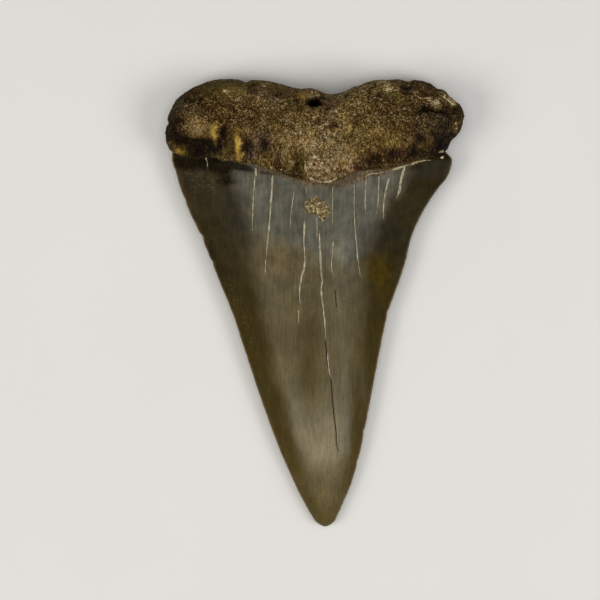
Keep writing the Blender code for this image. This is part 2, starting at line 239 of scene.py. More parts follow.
# Creases in the bone lie where noise changes sign: its wavelength and seed, the levels within
# which a crease lies, its depth and shade, and the same noise for the patches that have them.
CREASE_SPACING, CREASE_SEED, CREASE_WIDTH = 1.3, 51.0, 0.14
CREASE_DEPTH, CREASE_SHADE = 0.12, 0.14
CREASE_PATCH, CREASE_PATCH_SEED, CREASE_PATCH_LEVELS = 3.0, 61.0, (-0.2, 0.3)

# What else sets how light the bone is: its yellow stains, and a shade towards the lobes' ends,
# growing from one distance off the middle to another. The foramen and the raised and hollowed
# places start where the bone faces up by the first share, and are full from the second.
YELLOW_LIGHT, ENDS_SHADE, ENDS_REACH = 0.6, 0.42, (6, 21)
FACING_UP = (0, 0.5)

# How the stains' outlines wander: wavelength, distance, and the seeds along x and y.
ENAMEL_WANDER = (((3, 4.5, 4), 0.45, 11, 23),)
ROOT_WANDER = ((1.6, 0.45, 11, 23), (0.5, 0.25, 3, 9))

# What breaks up the enamel's stains: pale hairs towards the gum line, between two heights along
# y, scales and grains of dust. Each shows between two levels of its noise. Scales, dust and the
# neck stand up from the enamel, specks are pits, and a pale rim, a painted highlight, runs along
# the cutting edges.
HAIR_NOISE, HAIR_LEVELS, HAIR_REACH, HAIR_SHARE = ((0.32, 5, 1), 53), (0.2, 0.6), (8, 17), 0.8
SCALE_NOISE = (((0.9, 0.22, 1), 1, 31), ((0.35, 0.3, 1), 0.6, 5))
SCALE_LEVELS, SCALE_LIFT = (-0.15, 0.45), 0.035
DUST_NOISE, DUST_LEVELS, DUST_LIFT = ((0.26, 0.3, 1), 41), (0.1, 0.5), 0.03
PIT_DEPTH, RIM_WIDTH = 0.09, 0.3

# A filling's cross-section: places from -1 to 1 across it, how far each rises to the filling's
# top or, under 0, sinks towards its foot, that foot's depth, the heights of the tops over the
# enamel, and the share of a crack's width that it fills.
THREAD_ACROSS = np.array((-1, -0.55, 0, 0.55, 1, 0))
THREAD_RISE = np.array((-0.35, 0.7, 1, 0.7, -0.35, -1))
THREAD_FOOT, FILLING_SHARE = 0.2, 0.85
FILLING_TOP = {"sediment": 0.03, "open": 0.004}

# Along a filling: the distance between its sections and the fewest of them, how far it wanders,
# the shares of its length where it is full and where it tapers, and how far it tapers. Noise,
# given as wavelengths and seeds, moves it along x and y and varies its breadth, within limits,
# and its top.
THREAD_STEP, FEWEST_SECTIONS = 0.07, 8
THREAD_WANDER, THREAD_WANDER_NOISE = 0.05, ((0.7, 2.0), (0.7, 5.0))
THREAD_START, TAPER_START, TAPER = 0.05, 0.75, 0.75
BREADTH_NOISE, BREADTH_LIMITS = ((0.45, 0), (1.6, 3)), (0.15, 1.9)
THREAD_LUMPS, THREAD_LUMP_SIZE = 0.6, 0.22
CRACK_UNEVENNESS, SEAM_UNEVENNESS = 0.5, 0.8

# Over how many sections to each side a seam's height is evened out where it crosses a wall.
SETTLING = 3

# Crusts of sediment: name, rim in plan, and thickness at the middle.
CRUSTS = (
    ("crown_crust",
     ((-1.72, 14.7), (-1.3, 14.95), (-0.7, 15.15), (-0.2, 15.3), (0.35, 15.1), (0.7, 14.75),
      (1.15, 14.6), (1.65, 14.15), (2.05, 13.5), (2.15, 12.9), (1.85, 12.3), (1.45, 11.9),
      (1.05, 11.4), (0.7, 11.5), (0.45, 12.1), (0, 12.5), (-0.55, 12.4), (-1.1, 12.65),
      (-1.65, 12.95), (-1.75, 13.85)), 0.42),
    ("gum_line_crust",
     ((-1.65, 20), (-1.15, 20.8), (-0.3, 21.25), (0.85, 21.25), (2, 20.9), (2.8, 20.15),
      (3, 19), (3.05, 18.15), (2.55, 17.5), (1.55, 17.25), (0.45, 17.35), (-0.7, 17.65),
      (-1.45, 18.3), (-1.7, 19.15)), 0.35),
)

# Each crust's rim is ragged by a share of its reach. Its dome has lumps and grains, given by
# wavelengths and weights, and the grains rise by a lift, and by a share of it at the rim. The rim
# sinks below the surface, and so does the underside, by a depth and a share of it at the rim.
CRUST_RAGGEDNESS, CRUST_RAG_SIZE = 0.09, 0.3
CRUST_LUMPS, CRUST_LUMP_SIZE = 0.8, 0.9
CRUST_GRAIN, CRUST_GRAIN_LIFT, RIM_GRAIN = ((0.5, 0.55), (0.27, 0.45)), 0.22, 0.4
# The grains' height also paints shade into the crust's colour: darker between grains, lighter on
# them.
CRUST_GRAIN_SPAN = 0.7
CRUST_SINK, CRUST_SINK_POWER, CRUST_DEPTH, CRUST_RIM_DEPTH = 0.25, 6, 0.5, 0.3
CRUST_COLUMNS, CRUST_ROWS, CRUST_UNDER_STEP = 240, 110, 6
CRUST_SMOOTHING = ((0, 0), (0.4, 0), (-0.4, 0), (0, 0.4), (0, -0.4))

# Pale seams of sediment along the gum line and on the right lobe: points, width, top.
SEAMS = (
    (((10.3, 18.7), (10.7, 18.95), (11.6, 19.2), (12.4, 19.5), (13.4, 19.75), (14.2, 20.05),
      (14.9, 20.25), (15.7, 20.4), (16.5, 20.4)), 0.4, 0.22),
    (((7, 17.9), (7.3, 18.2), (7.9, 18.4), (8.9, 18.5), (9.7, 18.7)), 0.26, 0.12),
    (((14.3, 29.5), (15, 29.15), (16, 29.2), (16.9, 29.1)), 0.22, 0.12),
    (((15.8, 28.9), (16.4, 28.75), (16.9, 28.6)), 0.2, 0.1),
    (((17.7, 29.6), (18.4, 29.2), (19.2, 28.6), (19.9, 28)), 0.42, 0.16),
    (((-1.6, 20.2), (-1.45, 18.9), (-0.9, 17.9), (0.1, 17.4), (1.2, 17.2), (2.2, 17.35),
      (3, 17.8), (3.1, 18.7), (2.9, 19.8)), 0.5, 0.14),
    (((-1.3, 17.8), (-0.2, 17.3), (0.9, 17.15), (2, 17.2), (2.7, 17.5)), 0.3, 0.1),
)

# Pale chips on the root: x, y, length, width, bearing.
CHIPS = (
    (-2.2, 24.2, 0.55, 0.42, 70), (1.2, 24, 0.5, 0.18, -60), (1.5, 23.5, 0.4, 0.16, -60),
    (1.4, 25.4, 0.35, 0.3, 0), (0, 22.7, 0.45, 0.18, 95), (-0.2, 22, 0.25, 0.2, 0),
    (-0.5, 20.1, 0.5, 0.4, 20), (-0.7, 19.7, 0.5, 0.3, 60),
    (17.9, 21.7, 0.8, 0.5, 30), (18, 20.8, 0.6, 0.4, 10), (-0.3, 20.7, 0.8, 0.5, 80),
    (17.2, 28.5, 0.9, 0.55, 25), (18.3, 29.5, 0.6, 0.35, 60), (19.6, 28.4, 0.5, 0.3, -30),
    (9.8, 31.5, 0.7, 0.25, 10), (10.4, 30.5, 0.4, 0.25, 0), (11.2, 30.3, 0.4, 0.2, 30),
    (-7.4, 30.9, 0.5, 0.2, -20), (10.7, 27, 0.28, 0.22, 0), (-13, 30.2, 0.5, 0.4, 0),
    (19.9, 25.6, 0.35, 0.3, 60), (20, 24.9, 0.3, 0.25, 0), (0.3, 29.6, 0.5, 0.2, 0),
    (-4.9, 19, 0.3, 0.2, 0), (-15.7, 20.6, 0.3, 0.2, 60),
)

# A chip's points round it and from its top to its underside, between two shares of the way, how
# many blunt corners it has and how far they stand out, and its half thickness as a share of its
# width.
CHIP_RING, CHIP_ROWS, CHIP_ENDS = 14, 9, (0.05, 0.97)
CHIP_CORNERS, CHIP_CORNER_SHARE, CHIP_THICKNESS = 3, 0.2, 0.4

# The height that rays down to the surface start from, over every piece.
ABOVE_ALL = 30

# Where the dark flanks of the crown give way to its lighter core: y, left x, right x, softness.
CORE = np.array((
    (-32, 0.6, 3, 0.8), (-28.9, -0.1, 3.4, 1), (-26, -1, 3.7, 1.1),
    (-22.5, -1.9, 4.1, 1.2), (-18.9, -3.3, 4.6, 1.1), (-15.3, -4.1, 4.8, 1.1),
    (-11, -5.4, 5.5, 1.4), (-6.7, -6.6, 5.9, 1.5), (-2.4, -7.1, 6.5, 1.6),
    (1.9, -8.2, 6.9, 1.8), (5.4, -8.7, 7, 1.8), (8.3, -8.8, 7.4, 2),
    (11.2, -8.8, 8.1, 2), (14, -9.7, 9.6, 2.2), (16.9, -11.4, 11.5, 2.4),
    (24.2, -12, 12, 2.6),
))

# The edges on the tip's side of the bluish zone and of the rough brown neck between it and the
# root, with how soft they are. The neck's is ragged by noise: wavelength, distance and seed.
BLUE_EDGE_X = (-16, -12, -8, -4, 0, 2, 4, 6, 8, 10.5, 12.5, 16)
BLUE_EDGE_Y = (11, 10.6, 10.2, 8.3, 7, 5.9, 5.3, 6.2, 7.2, 5.9, 4.6, 2)
BLUE_SOFTNESS = 1.1
NECK_EDGE_X = (-20, -9.5, -8.3, -6.3, -3.7, -1.6, 0.6, 3, 4.9, 6.9, 8, 10.5, 12, 19)
NECK_EDGE_Y = (25, 21, 18.9, 18.3, 17.5, 16.8, 16.6, 16.4, 16.8, 17.5, 18, 18.7, 20.5, 24)
NECK_RAGS = ((0.5, 0.12, 17), ((1.4, 3, 1), 0.15, 19))
NECK_SOFTNESS, NECK_LIFT = 0.12, 0.08

# Stains in the enamel: x, y, half length, half width, bearing of the length from +X, strength.
# The bright spots are painted highlights, not stains, and so are the first and last pale spots.
ENAMEL_STAINS = {
    "brown": (
        (-7.2, 6.6, 3, 2, 10, 0.9), (-4.5, 4.9, 3, 1.5, -20, 0.5), (5.2, 5.4, 1.2, 1.5, 90, 0.35),
        (-7, 2.6, 2.2, 0.7, 90, 0.3),
    ),
    "yellow": (
        (8.8, 5, 2.2, 2, 90, 1.25), (9.6, 2.4, 2.6, 1.2, 100, 0.35),
        (-14.6, 6.3, 0.9, 0.45, 108, 0.5), (-5.4, -18.6, 1.3, 0.5, 112, 0.5),
        (-3.3, -23.4, 1.2, 0.5, 112, 0.5), (-1, -28, 0.9, 0.6, 120, 0.4),
    ),
    "column": (
        (-1.2, -7.2, 5.2, 1.5, 90, 0.8), (-1, -11.6, 2.6, 2, 90, 0.5),
        (-0.7, -3.4, 1.8, 1.3, 90, 0.4), (-2.6, -5, 1.8, 0.5, 90, 0.4),
    ),
    # bright: painted highlights, low in the crown's middle and in faint bands beside the middle
    "painted_highlight": (
        (6.3, -9.6, 6, 1, 98, 0.22), (0.9, -19.6, 3.6, 2.3, 90, 0.5),
        (0.4, -21.4, 1.6, 2, 0, 0.3), (-2.7, -15.6, 2.6, 0.8, 108, 0.4),
        (-4.6, -9.8, 3.4, 0.8, 108, 0.3), (2.7, 7.9, 2.6, 1.3, 90, 0.35),
        (3.3, -2.4, 7, 0.9, 95, 0.3),
    ),
    # pale: the first and last spots are a painted highlight band near the tip; the others and the
    # hairs are pale streaks
    "pale": (
        (4, -18.6, 2.6, 0.6, 95, 1), (4.2, 9.4, 4.6, 0.95, 92, 0.8),
        (-7.4, 15.6, 2, 0.9, 90, 0.7), (4.1, -12.5, 4.6, 0.7, 97, 0.4),
    ),
    "shade": (
        (-13.4, 12.6, 2, 3, 70, 0.35), (-11.6, 11.4, 1, 1.4, 60, 0.5),
        (10.6, 9.8, 1.4, 2.6, 90, 0.8), (8.4, 9, 2.6, 1.2, 90, 0.5),
        (14.6, 14.2, 0.7, 1.4, -40, 0.4), (-16.4, 9.6, 5.2, 0.5, 112, 0.4),
        (-2.6, 15.9, 0.6, 2.6, 90, 0.3),
    ),
    "orange": (
        (-19.3, 17.7, 1.5, 0.42, 104, 0.45), (-18.3, 15.2, 1, 0.35, 108, 0.8),
        (-17.9, 13.8, 0.8, 0.3, 108, 0.4), (-16.7, 11, 1, 0.35, 112, 0.6),
        (-15.6, 8.6, 0.7, 0.35, 112, 0.6), (-12.1, 0.4, 1.2, 0.35, 110, 0.45),
        (-9.4, -7.2, 0.9, 0.35, 108, 0.9), (-7.4, -13.6, 1, 0.35, 108, 0.8),
        (-5.6, -18.4, 1, 0.35, 110, 0.6), (-4.5, -21, 0.9, 0.3, 110, 0.5),
        (5.5, -21.8, 1.8, 0.4, 75, 0.6), (18.7, 18.7, 0.7, 0.4, 90, 0.3),
    ),
    "dust": (
        (-9.4, -4.2, 4.2, 1, 112, 1), (-12, 1.4, 3.4, 0.9, 112, 0.7),
        (-8.6, -8.8, 1.6, 0.5, 112, 0.5), (12.2, 3.4, 1.4, 1, 90, 0.4),
    ),
    "scaly": (
        (-16.9, 17.4, 2, 1.7, 0, 1), (-14.4, 16.9, 1.3, 1.3, 0, 0.9), (-18, 18.6, 1, 0.7, 0, 0.6),
    ),
    "soot": (
        (-14.9, 7, 3, 0.8, 112, 0.45), (-18.6, 16.8, 1.6, 0.5, 106, 0.4),
        (-11.2, 19.9, 2, 0.4, -14, 1.6), (-18.2, 20.1, 3, 0.9, -4, 1.6),
        (-13.9, 19.6, 2.1, 1, -14, 1.8), (-10.4, 19.3, 2, 0.35, -14, 1.3),
        (-12.9, 17.5, 1, 0.9, 60, 0.9), (-11.8, 17.2, 0.7, 1.3, 100, 0.5),
        (-6.8, 18.6, 1.4, 0.2, -12, 0.8), (14, 19.4, 1.2, 0.3, 15, 0.5),
    ),
}

# Soft brown lines in the enamel: points from the gum line towards the tip, half width, strength.
SOFT_LINES = (
    (((-0.45, -4.6), (-0.35, -9), (-0.45, -13)), 0.16, 0.8),
    (((-1, -4), (-0.95, -7), (-1.1, -9.4)), 0.2, 0.3),
    (((-2.4, -3.6), (-2.55, -5.2), (-2.6, -6.6)), 0.25, 0.5),
    (((2.65, 2), (2.75, 0.4), (2.9, -1)), 0.2, 0.5),
    (((6.3, 3.2), (6.5, 2.2), (6.7, 1.6)), 0.2, 0.35),
)

# Tiny pits in the enamel: x, y, radius.
SPECK_PITS = (
    (0.2, -24.8, 0.22), (1.5, -24.9, 0.24), (1.6, -25.4, 0.15), (2.6, -21.6, 0.2),
    (0.9, -19.9, 0.1), (2.6, -20.2, 0.1), (-8.9, 5, 0.12), (3.2, -5.7, 0.1),
    (1.2, -22.6, 0.12), (-2.9, -24.6, 0.1),
)

# Stains on the root, in the same form. The smooth ones take away the bone's grain.
ROOT_STAINS = {
    "yellow": (
        (-14.3, 24.3, 1.2, 0.65, 84, 1.15), (-14.3, 22.9, 0.9, 0.3, 90, 1),
        (-11.1, 23.7, 1.1, 0.5, 95, 0.7), (-10.9, 22.3, 1.6, 0.5, 92, 1),
        (-11, 20.8, 1.1, 0.5, 90, 1), (-19.3, 21.8, 1.6, 0.55, -22, 1.7),
        (-1.9, 29.5, 0.7, 0.5, 60, 0.9), (-7.6, 19.9, 1, 0.6, 0, 0.5), (3.9, 26.6, 1, 1, 0, 0.5),
        (4.9, 25, 1.4, 0.9, 0, 0.6), (6.3, 29, 1, 0.7, 0, 0.45), (11, 23.6, 2.6, 1.6, 0, 0.45),
        (8.4, 24.2, 1.4, 1.4, 0, 0.35), (11, 22.4, 1, 0.7, 0, 0.4),
        (19.9, 27.9, 0.8, 0.5, -40, 0.5),
    ),
    "dark": (
        (-20.4, 24.6, 1, 2, 0, 0.4), (-16.1, 22.6, 1.5, 0.8, 0, 2.6),
        (-16.6, 21.5, 1.8, 0.5, 0, 2.4), (-15, 22.5, 0.35, 0.6, 0, 0.8),
        (-19.3, 23.2, 1.4, 0.5, -10, 0.9), (-13.2, 24.4, 0.8, 0.35, 92, 1.3),
        (-13.8, 22.7, 0.9, 0.35, 90, 1), (-9.8, 22.2, 1.2, 0.4, 88, 0.9),
        (-7.4, 22.3, 1, 0.7, 88, 0.9), (-5.3, 22.9, 0.9, 0.35, 88, 0.5),
        (-5.7, 20, 0.7, 0.6, 0, 0.35), (-2.7, 19.8, 0.7, 1.7, 0, 0.75),
        (-4, 18.6, 1.3, 0.5, -25, 0.5), (-20.3, 25.9, 0.6, 0.25, 0, 1.1),
        (-19.4, 26, 0.5, 0.3, 0, 0.9), (-20.9, 23.8, 0.7, 0.7, 0, 0.6),
        (-20.6, 24.9, 0.7, 1.2, 0, 0.6), (-17, 29.2, 0.9, 0.16, 20, 1.2),
        (-18.3, 29, 0.5, 0.3, 0, 0.5), (-9, 30.2, 0.6, 0.35, 0, 0.6),
        (-8.8, 31.2, 0.6, 0.2, 0, 0.8), (-5.6, 30.2, 0.8, 0.4, 0, 0.6),
        (-2.6, 28.8, 0.3, 0.6, 0, 0.5), (1, 29.5, 0.5, 0.15, 0, 1), (1.9, 29.1, 0.3, 0.3, 0, 0.6),
        (1.7, 27.6, 0.35, 0.3, 0, 0.7), (2.4, 25.3, 0.6, 0.45, 20, 0.8),
        (0.3, 25.9, 0.5, 0.4, 0, 0.5), (-2.6, 27.4, 1, 0.6, 0, 0.4), (12.9, 31, 1, 0.5, 0, 0.9),
        (12.5, 29.9, 0.9, 0.3, 0, 0.6), (9, 29.5, 0.35, 0.35, 0, 0.6),
        (8.6, 30.9, 0.4, 0.4, 0, 0.5), (16.3, 27.8, 0.9, 0.28, -4, 1.4),
        (14.8, 27.3, 0.5, 0.3, 20, 0.8), (17.7, 27.3, 0.9, 0.25, -10, 0.9),
        (20.2, 27.5, 0.45, 0.3, 0, 0.8), (19.6, 24.2, 0.6, 0.4, 30, 0.8),
        (18.2, 22.8, 1, 1.1, 30, 1), (17.4, 21.2, 0.7, 0.6, 0, 1.2),
        (14.6, 23.3, 0.6, 0.8, 0, 0.5), (13.9, 21.8, 0.5, 0.8, 0, 0.6),
        (9.2, 23.2, 0.5, 0.6, 0, 0.5), (10.3, 20.9, 3.4, 0.8, 6, 0.6), (8, 20, 1, 0.9, 0, 0.45),
        (6.7, 19.2, 1.1, 0.35, 0, 0.6), (15.6, 21.4, 1.4, 0.5, 10, 0.5),
        (18.9, 26, 0.8, 1.2, 0, 0.4), (5.9, 25.8, 0.6, 0.6, 0, 0.4),
    ),
    "purple": (
        (11.2, 21.2, 1, 0.5, 5, 1), (-17, 21.4, 1.5, 0.5, 0, 0.9),
        (-13.9, 22.6, 0.5, 0.8, 0, 0.8), (-7.4, 22.3, 0.8, 0.8, 0, 0.7),
        (18, 22.6, 1.2, 0.9, 30, 0.6), (2.3, 28.6, 0.7, 0.6, 0, 0.6),
        (-19.3, 23.3, 1.4, 0.4, -10, 0.5), (-5.7, 20, 0.7, 0.6, 0, 0.5),
        (0.3, 25.8, 0.8, 0.6, 0, 0.4), (-9.6, 21, 1, 1.2, 0, 0.4), (-5.6, 30.2, 0.8, 0.4, 0, 0.5),
        (12.9, 31, 1, 0.5, 0, 0.5), (5.2, 18.9, 1.8, 0.5, 10, 0.5), (-9, 30, 0.8, 0.5, 0, 0.4),
    ),
    "green": (
        (-13.4, 30.8, 4.4, 1, 4, 0.9), (-19.6, 28.2, 1.8, 0.9, 52, 0.6),
        (-12.9, 21.8, 0.4, 1.4, 0, 0.8), (-13.6, 20.6, 1.8, 0.4, -18, 0.6),
        (11.4, 29.2, 1.6, 0.7, 0, 0.8), (-6, 30.8, 3.6, 0.5, -10, 0.5),
        (-2.5, 19.6, 0.7, 1.8, 0, 0.7), (-7.6, 19.8, 1.2, 0.6, 0, 0.7),
        (6.4, 24.6, 1.2, 1.6, 0, 0.4), (14.8, 22, 1.2, 0.8, 0, 0.4),
        (-3.8, 28.6, 0.8, 0.8, 0, 0.5), (3.6, 29.2, 1, 0.8, 0, 0.5),
    ),
    "pale": (
        (-12, 30.2, 5, 1.6, 0, 0.25), (10.5, 30.6, 5, 1.3, 0, 0.2),
        (-0.4, 22.8, 4.2, 3.6, 0, 0.4), (-16.9, 25.3, 1.9, 2, 0, 0.8),
        (-10.9, 22.2, 1.1, 0.3, 92, 0.7), (-14.3, 23.6, 1, 0.3, 88, 0.4),
        (-13.9, 20.7, 1.8, 0.3, -18, 0.5), (4.4, 20.4, 1.6, 1.8, 0, 0.45),
        (9.8, 31.5, 1.3, 0.4, 0, 0.6), (10.6, 30.4, 1.2, 0.4, -10, 0.5),
        (17.2, 28.5, 0.8, 0.5, 0, 0.9), (18.8, 28.9, 1.5, 0.4, -36, 1),
        (18.3, 30.3, 0.7, 0.5, 0, 0.5), (19.9, 25.2, 0.4, 0.8, -20, 0.7),
        (-13, 30.2, 0.5, 0.5, 0, 0.5), (-5.9, 29.4, 0.6, 0.4, 0, 0.5),
        (-0.6, 29.5, 0.5, 0.3, 0, 0.5), (0.9, 18.6, 2.4, 1.6, 0, 0.4),
    ),
    "grey": (
        (-8, 23.2, 1.6, 1.6, 0, 0.6), (-19, 27.8, 1.6, 1.4, 60, 0.5), (17, 25.4, 3.4, 2, 0, 0.6),
        (-5.9, 29.4, 1, 0.6, 0, 0.7), (2, 23.8, 1.8, 2.2, 0, 0.35),
        (14.9, 28.2, 0.8, 0.4, 0, 0.5), (13, 30.6, 1.4, 0.8, 0, 0.4),
        (-9.2, 20.8, 1, 0.8, 0, 0.5),
    ),
    "smooth": (
        (-13.4, 30.8, 4.6, 1.1, 4, 0.9), (-19.4, 28.4, 1.8, 0.9, 52, 0.5),
        (-16.9, 25.3, 1.6, 1.8, 0, 0.5), (-14.7, 23.8, 1.4, 0.6, 88, 0.8),
        (-11.3, 22.4, 2.4, 0.5, 92, 0.8), (-19.3, 21.8, 1.6, 0.5, -22, 0.5),
        (-13.9, 20.7, 1.8, 0.35, -18, 0.7), (-5.6, 30.6, 3.2, 0.7, -8, 0.5),
        (-1.9, 29.5, 0.9, 0.6, 0, 0.6), (11.4, 29.2, 1.4, 0.6, 0, 0.5),
        (18.8, 28.9, 1.5, 0.4, -36, 0.6),
    ),
}


def smooth_step(low, high, value):
    share = np.clip((value - low) / (high - low), 0, 1)
    return share * share * (3 - 2 * share)


def spline(at, knots, values):
    """A smooth curve through the values at ascending knots, read at the places in at."""
    at, knots, values = (np.asarray(given, float) for given in (at, knots, values))
    slopes = np.gradient(values, knots, axis=0)
    i = np.clip(np.searchsorted(knots, at) - 1, 0, len(knots) - 2)
    step = knots[i + 1] - knots[i]
    t = (at - knots[i]) / step
    if values.ndim > 1:
        t, step = t[:, None], step[:, None]
    start = (1 + 2 * t) * (1 - t) ** 2 * values[i] + t * (1 - t) ** 2 * step * slopes[i]
    end = t * t * (3 - 2 * t) * values[i + 1] + t * t * (t - 1) * step * slopes[i + 1]
    return start + end


def along(points, shares):
    """Points at these shares of the length of a smooth line through the given points."""
    points = np.asarray(points, float)
    steps = np.linalg.norm(np.diff(points, axis=0), axis=1)
    knots = np.concatenate([[0], np.cumsum(steps)])
    return spline(np.asarray(shares) * knots[-1], knots, points)


def field(points, wavelength, seed=0.0):
    """Noise between about -1 and 1 at each point, in lumps of this wavelength."""
    points = np.asarray(points, float)
    places = (points.reshape(-1, 3) / np.asarray(wavelength) + seed).tolist()
    return np.array([noise.noise(place) for place in places]).reshape(points.shape[:-1])


def layered(points, layers):
    """The sum of layers of noise, each given as its wavelength, lift and seed."""
    return sum(lift * field(points, wavelength, seed) for wavelength, lift, seed in layers)


def wandered(x, y, layers):
    """Places in plan, moved by layers of noise so that a stain's outline wanders."""
    plan = in_plan(x, y)
    for wavelength, distance, seed_x, seed_y in layers:
        x = x + distance * field(plan, wavelength, seed_x)
        y = y + distance * field(plan, wavelength, seed_y)
    return x, y


def spots(x, y, table):
    """The sum of soft elliptical spots: x, y, half length, half width, bearing, strength."""
    total = np.zeros(np.shape(x))
    for centre_x, centre_y, half_length, half_width, bearing, strength in table:
        turn = math.radians(bearing)
        dx, dy = x - centre_x, y - centre_y
        length = (dx * math.cos(turn) + dy * math.sin(turn)) / half_length
        width = (dy * math.cos(turn) - dx * math.sin(turn)) / half_width
        total += strength * np.exp(-(length**2 + width**2))
    return total


def loft(name, grids):
    """A closed mesh through each grid's rings of points in millimetres, with a strip of UVs for
    each grid's bake."""
    points, faces, corners = [], [], []
    before = 0
    for number, rings in enumerate(grids):
        rows, ring = rings.shape[:2]
        row, column = np.meshgrid(np.arange(rows - 1), np.arange(ring), indexing="ij")
        beside = (column + 1) % ring
        quads = np.stack(
            [row * ring + column, row * ring + beside, (row + 1) * ring + beside,
             (row + 1) * ring + column], -1
        ).reshape(-1, 4)
        places = np.stack(
            [np.stack([column, row], -1), np.stack([column + 1, row], -1),
             np.stack([column + 1, row + 1], -1), np.stack([column, row + 1], -1)], 2
        ).reshape(-1, 4, 2) / (ring, rows - 1)
        places = (places * (1, STRIP_SHARE) + (0, number)) / (1, len(grids))
        flat = rings.reshape(-1, 3)
        a, b, c, d = (flat[quads[:, i]] for i in range(4))
        volume = (a * (np.cross(b, c) + np.cross(c, d))).sum()
        caps = [list(range(ring))[::-1], list(range((rows - 1) * ring, rows * ring))]
        if volume < 0:
            quads, places = quads[:, ::-1], places[:, ::-1]
            caps = [cap[::-1] for cap in caps]
        points.append(flat)
        faces += (quads + before).tolist() + [[before + i for i in cap] for cap in caps]
        corners += [places.reshape(-1, 2), np.tile((0, number / len(grids)), (2 * ring, 1))]
        before += len(flat)
    mesh = bpy.data.meshes.new(name)
    mesh.from_pydata((np.concatenate(points) * MM).tolist(), [], faces)
    uvs = mesh.uv_layers.new(name="OFBake")
    uvs.data.foreach_set("uv", np.concatenate(corners).ravel())
    mesh.shade_smooth()
    return mesh


def normals(rings):
    """Unit normals of a grid of points whose columns close in a ring."""
    down = np.gradient(rings, axis=0)
    around = np.roll(rings, -1, axis=1) - np.roll(rings, 1, axis=1)
    out = np.cross(around, down)
    out /= np.maximum(np.linalg.norm(out, axis=2, keepdims=True), 1e-9)
    middle = rings.mean(axis=1, keepdims=True)
    return out * np.sign(((rings - middle) * out).sum())


def write(mesh, masks):
    """Stores each mask, from 0 to 1 at each point, as an attribute that materials read."""
    for name, values in masks.items():
        attribute = mesh.attributes.new(name, "FLOAT", "POINT")
        attribute.data.foreach_set("value", np.clip(np.ravel(values), 0, 1).astype(np.float32))


def in_plan(x, y):
    return np.stack([x, y, np.zeros(np.shape(x))], -1)


def crown_edges(y):
    """The x of the crown's left and right cutting edges at each y."""
    outline = np.asarray(CROWN_OUTLINE)
    steps = np.linalg.norm(np.diff(outline, axis=0), axis=1)
    tip_share = steps[:TIP_INDEX].sum() / steps.sum()
    left, right = (
        along(CROWN_OUTLINE, np.linspace(tip_share, end, OUTLINE_SAMPLES)) for end in (0, 1)
    )
    return np.interp(y, left[:, 1], left[:, 0]), np.interp(y, right[:, 1], right[:, 0])


def inwards(y, side):
    """How far the nicks and the slight raggedness bring a cutting edge in at each y."""
    cut = np.zeros(np.shape(y))
    for nick_side, nick_y, half_length, depth in EDGE_NICKS:
        if nick_side == side:
            cut += depth * np.exp(-(((y - nick_y) / half_length) ** 2))
    line = in_plan(np.full(np.shape(y), EDGE_WAVE_X * side), y)
    for wavelength, depth in EDGE_WAVES:
        cut += depth * (1 + field(line, wavelength))
    return cut * smooth_step(*EDGE_TIP, y)


def crown_faces(y, across):
    """The heights of the crown's two faces, at y and from -1 to 1 across."""
    edge = spline(y, CROWN_STATIONS, EDGE_HEIGHT)
    swell = spline(y, CROWN_STATIONS, LINGUAL_SWELL)
    depth = spline(y, CROWN_STATIONS, LABIAL_DEPTH)
    inside = np.clip(1 - across**2, 0, 1)
    lingual = edge + swell * inside**SWELL_POWER
    labial = edge - depth * (1 - np.abs(across) ** LABIAL_POWER)
    return lingual, labial


def enamel_relief(x, y, across):
    return layered(in_plan(x, y), ENAMEL_RELIEF) * (1 - np.abs(across) ** EDGE_CALM_POWER)


def enamel_height(x, y):
    """The height of the enamel's lingual face at points in plan, without its cracks."""
    left, right = crown_edges(y)
    across = np.clip((2 * x - left - right) / (right - left), -1, 1)
    return crown_faces(y, across)[0] + enamel_relief(x, y, across)


def crack_line(points, y):
    """A crack's x at each y, and how much of the crack is there, fading out past its ends."""
    path = along(points, np.linspace(1, 0, CRACK_SAMPLES))
    low, high = path[0, 1], path[-1, 1]
    there = smooth_step(low - CRACK_FADE, low + CRACK_FADE_INSIDE, y)
    there = there * (1 - smooth_step(high - CRACK_FADE_INSIDE, high + CRACK_FADE, y))
    return np.interp(y, path[:, 1], path[:, 0]), there


def crown_columns(rows):
    """Each row's points from -1 to 1 across, crowded at the cutting edges and the cracks."""
    fine = np.linspace(-1, 1, COLUMN_SAMPLES)
    left, right = crown_edges(rows)
    x = (left + right)[:, None] / 2 + fine * (right - left)[:, None] / 2
    density = 1 + EDGE_CROWDING * np.abs(fine) ** EDGE_CROWDING_POWER + np.zeros(x.shape)
    for points, _, _ in CRACKS:
        crack_x, there = crack_line(points, rows)
        near = np.exp(-(((x - crack_x[:, None]) / CRACK_REACH) ** 2))
        density += CRACK_CROWDING * there[:, None] * near
    places = np.cumsum((density[:, 1:] + density[:, :-1]) / 2, axis=1)
    places = np.concatenate([np.zeros((len(rows), 1)), places], axis=1)
    evenly = np.linspace(0, 1, CROWN_TOP_COLUMNS + 1)
    return np.array([np.interp(evenly * row[-1], row, fine) for row in places])


def blue_zone(x, y):
    edge = spline(x.ravel(), BLUE_EDGE_X, BLUE_EDGE_Y).reshape(x.shape)
    return smooth_step(edge - BLUE_SOFTNESS, edge + BLUE_SOFTNESS, y)


def neck_zone(x, y):
    ragged = layered(in_plan(x, y), NECK_RAGS)
    edge = spline(x.ravel(), NECK_EDGE_X, NECK_EDGE_Y).reshape(x.shape)
    return smooth_step(-NECK_SOFTNESS, NECK_SOFTNESS, y - edge + ragged)


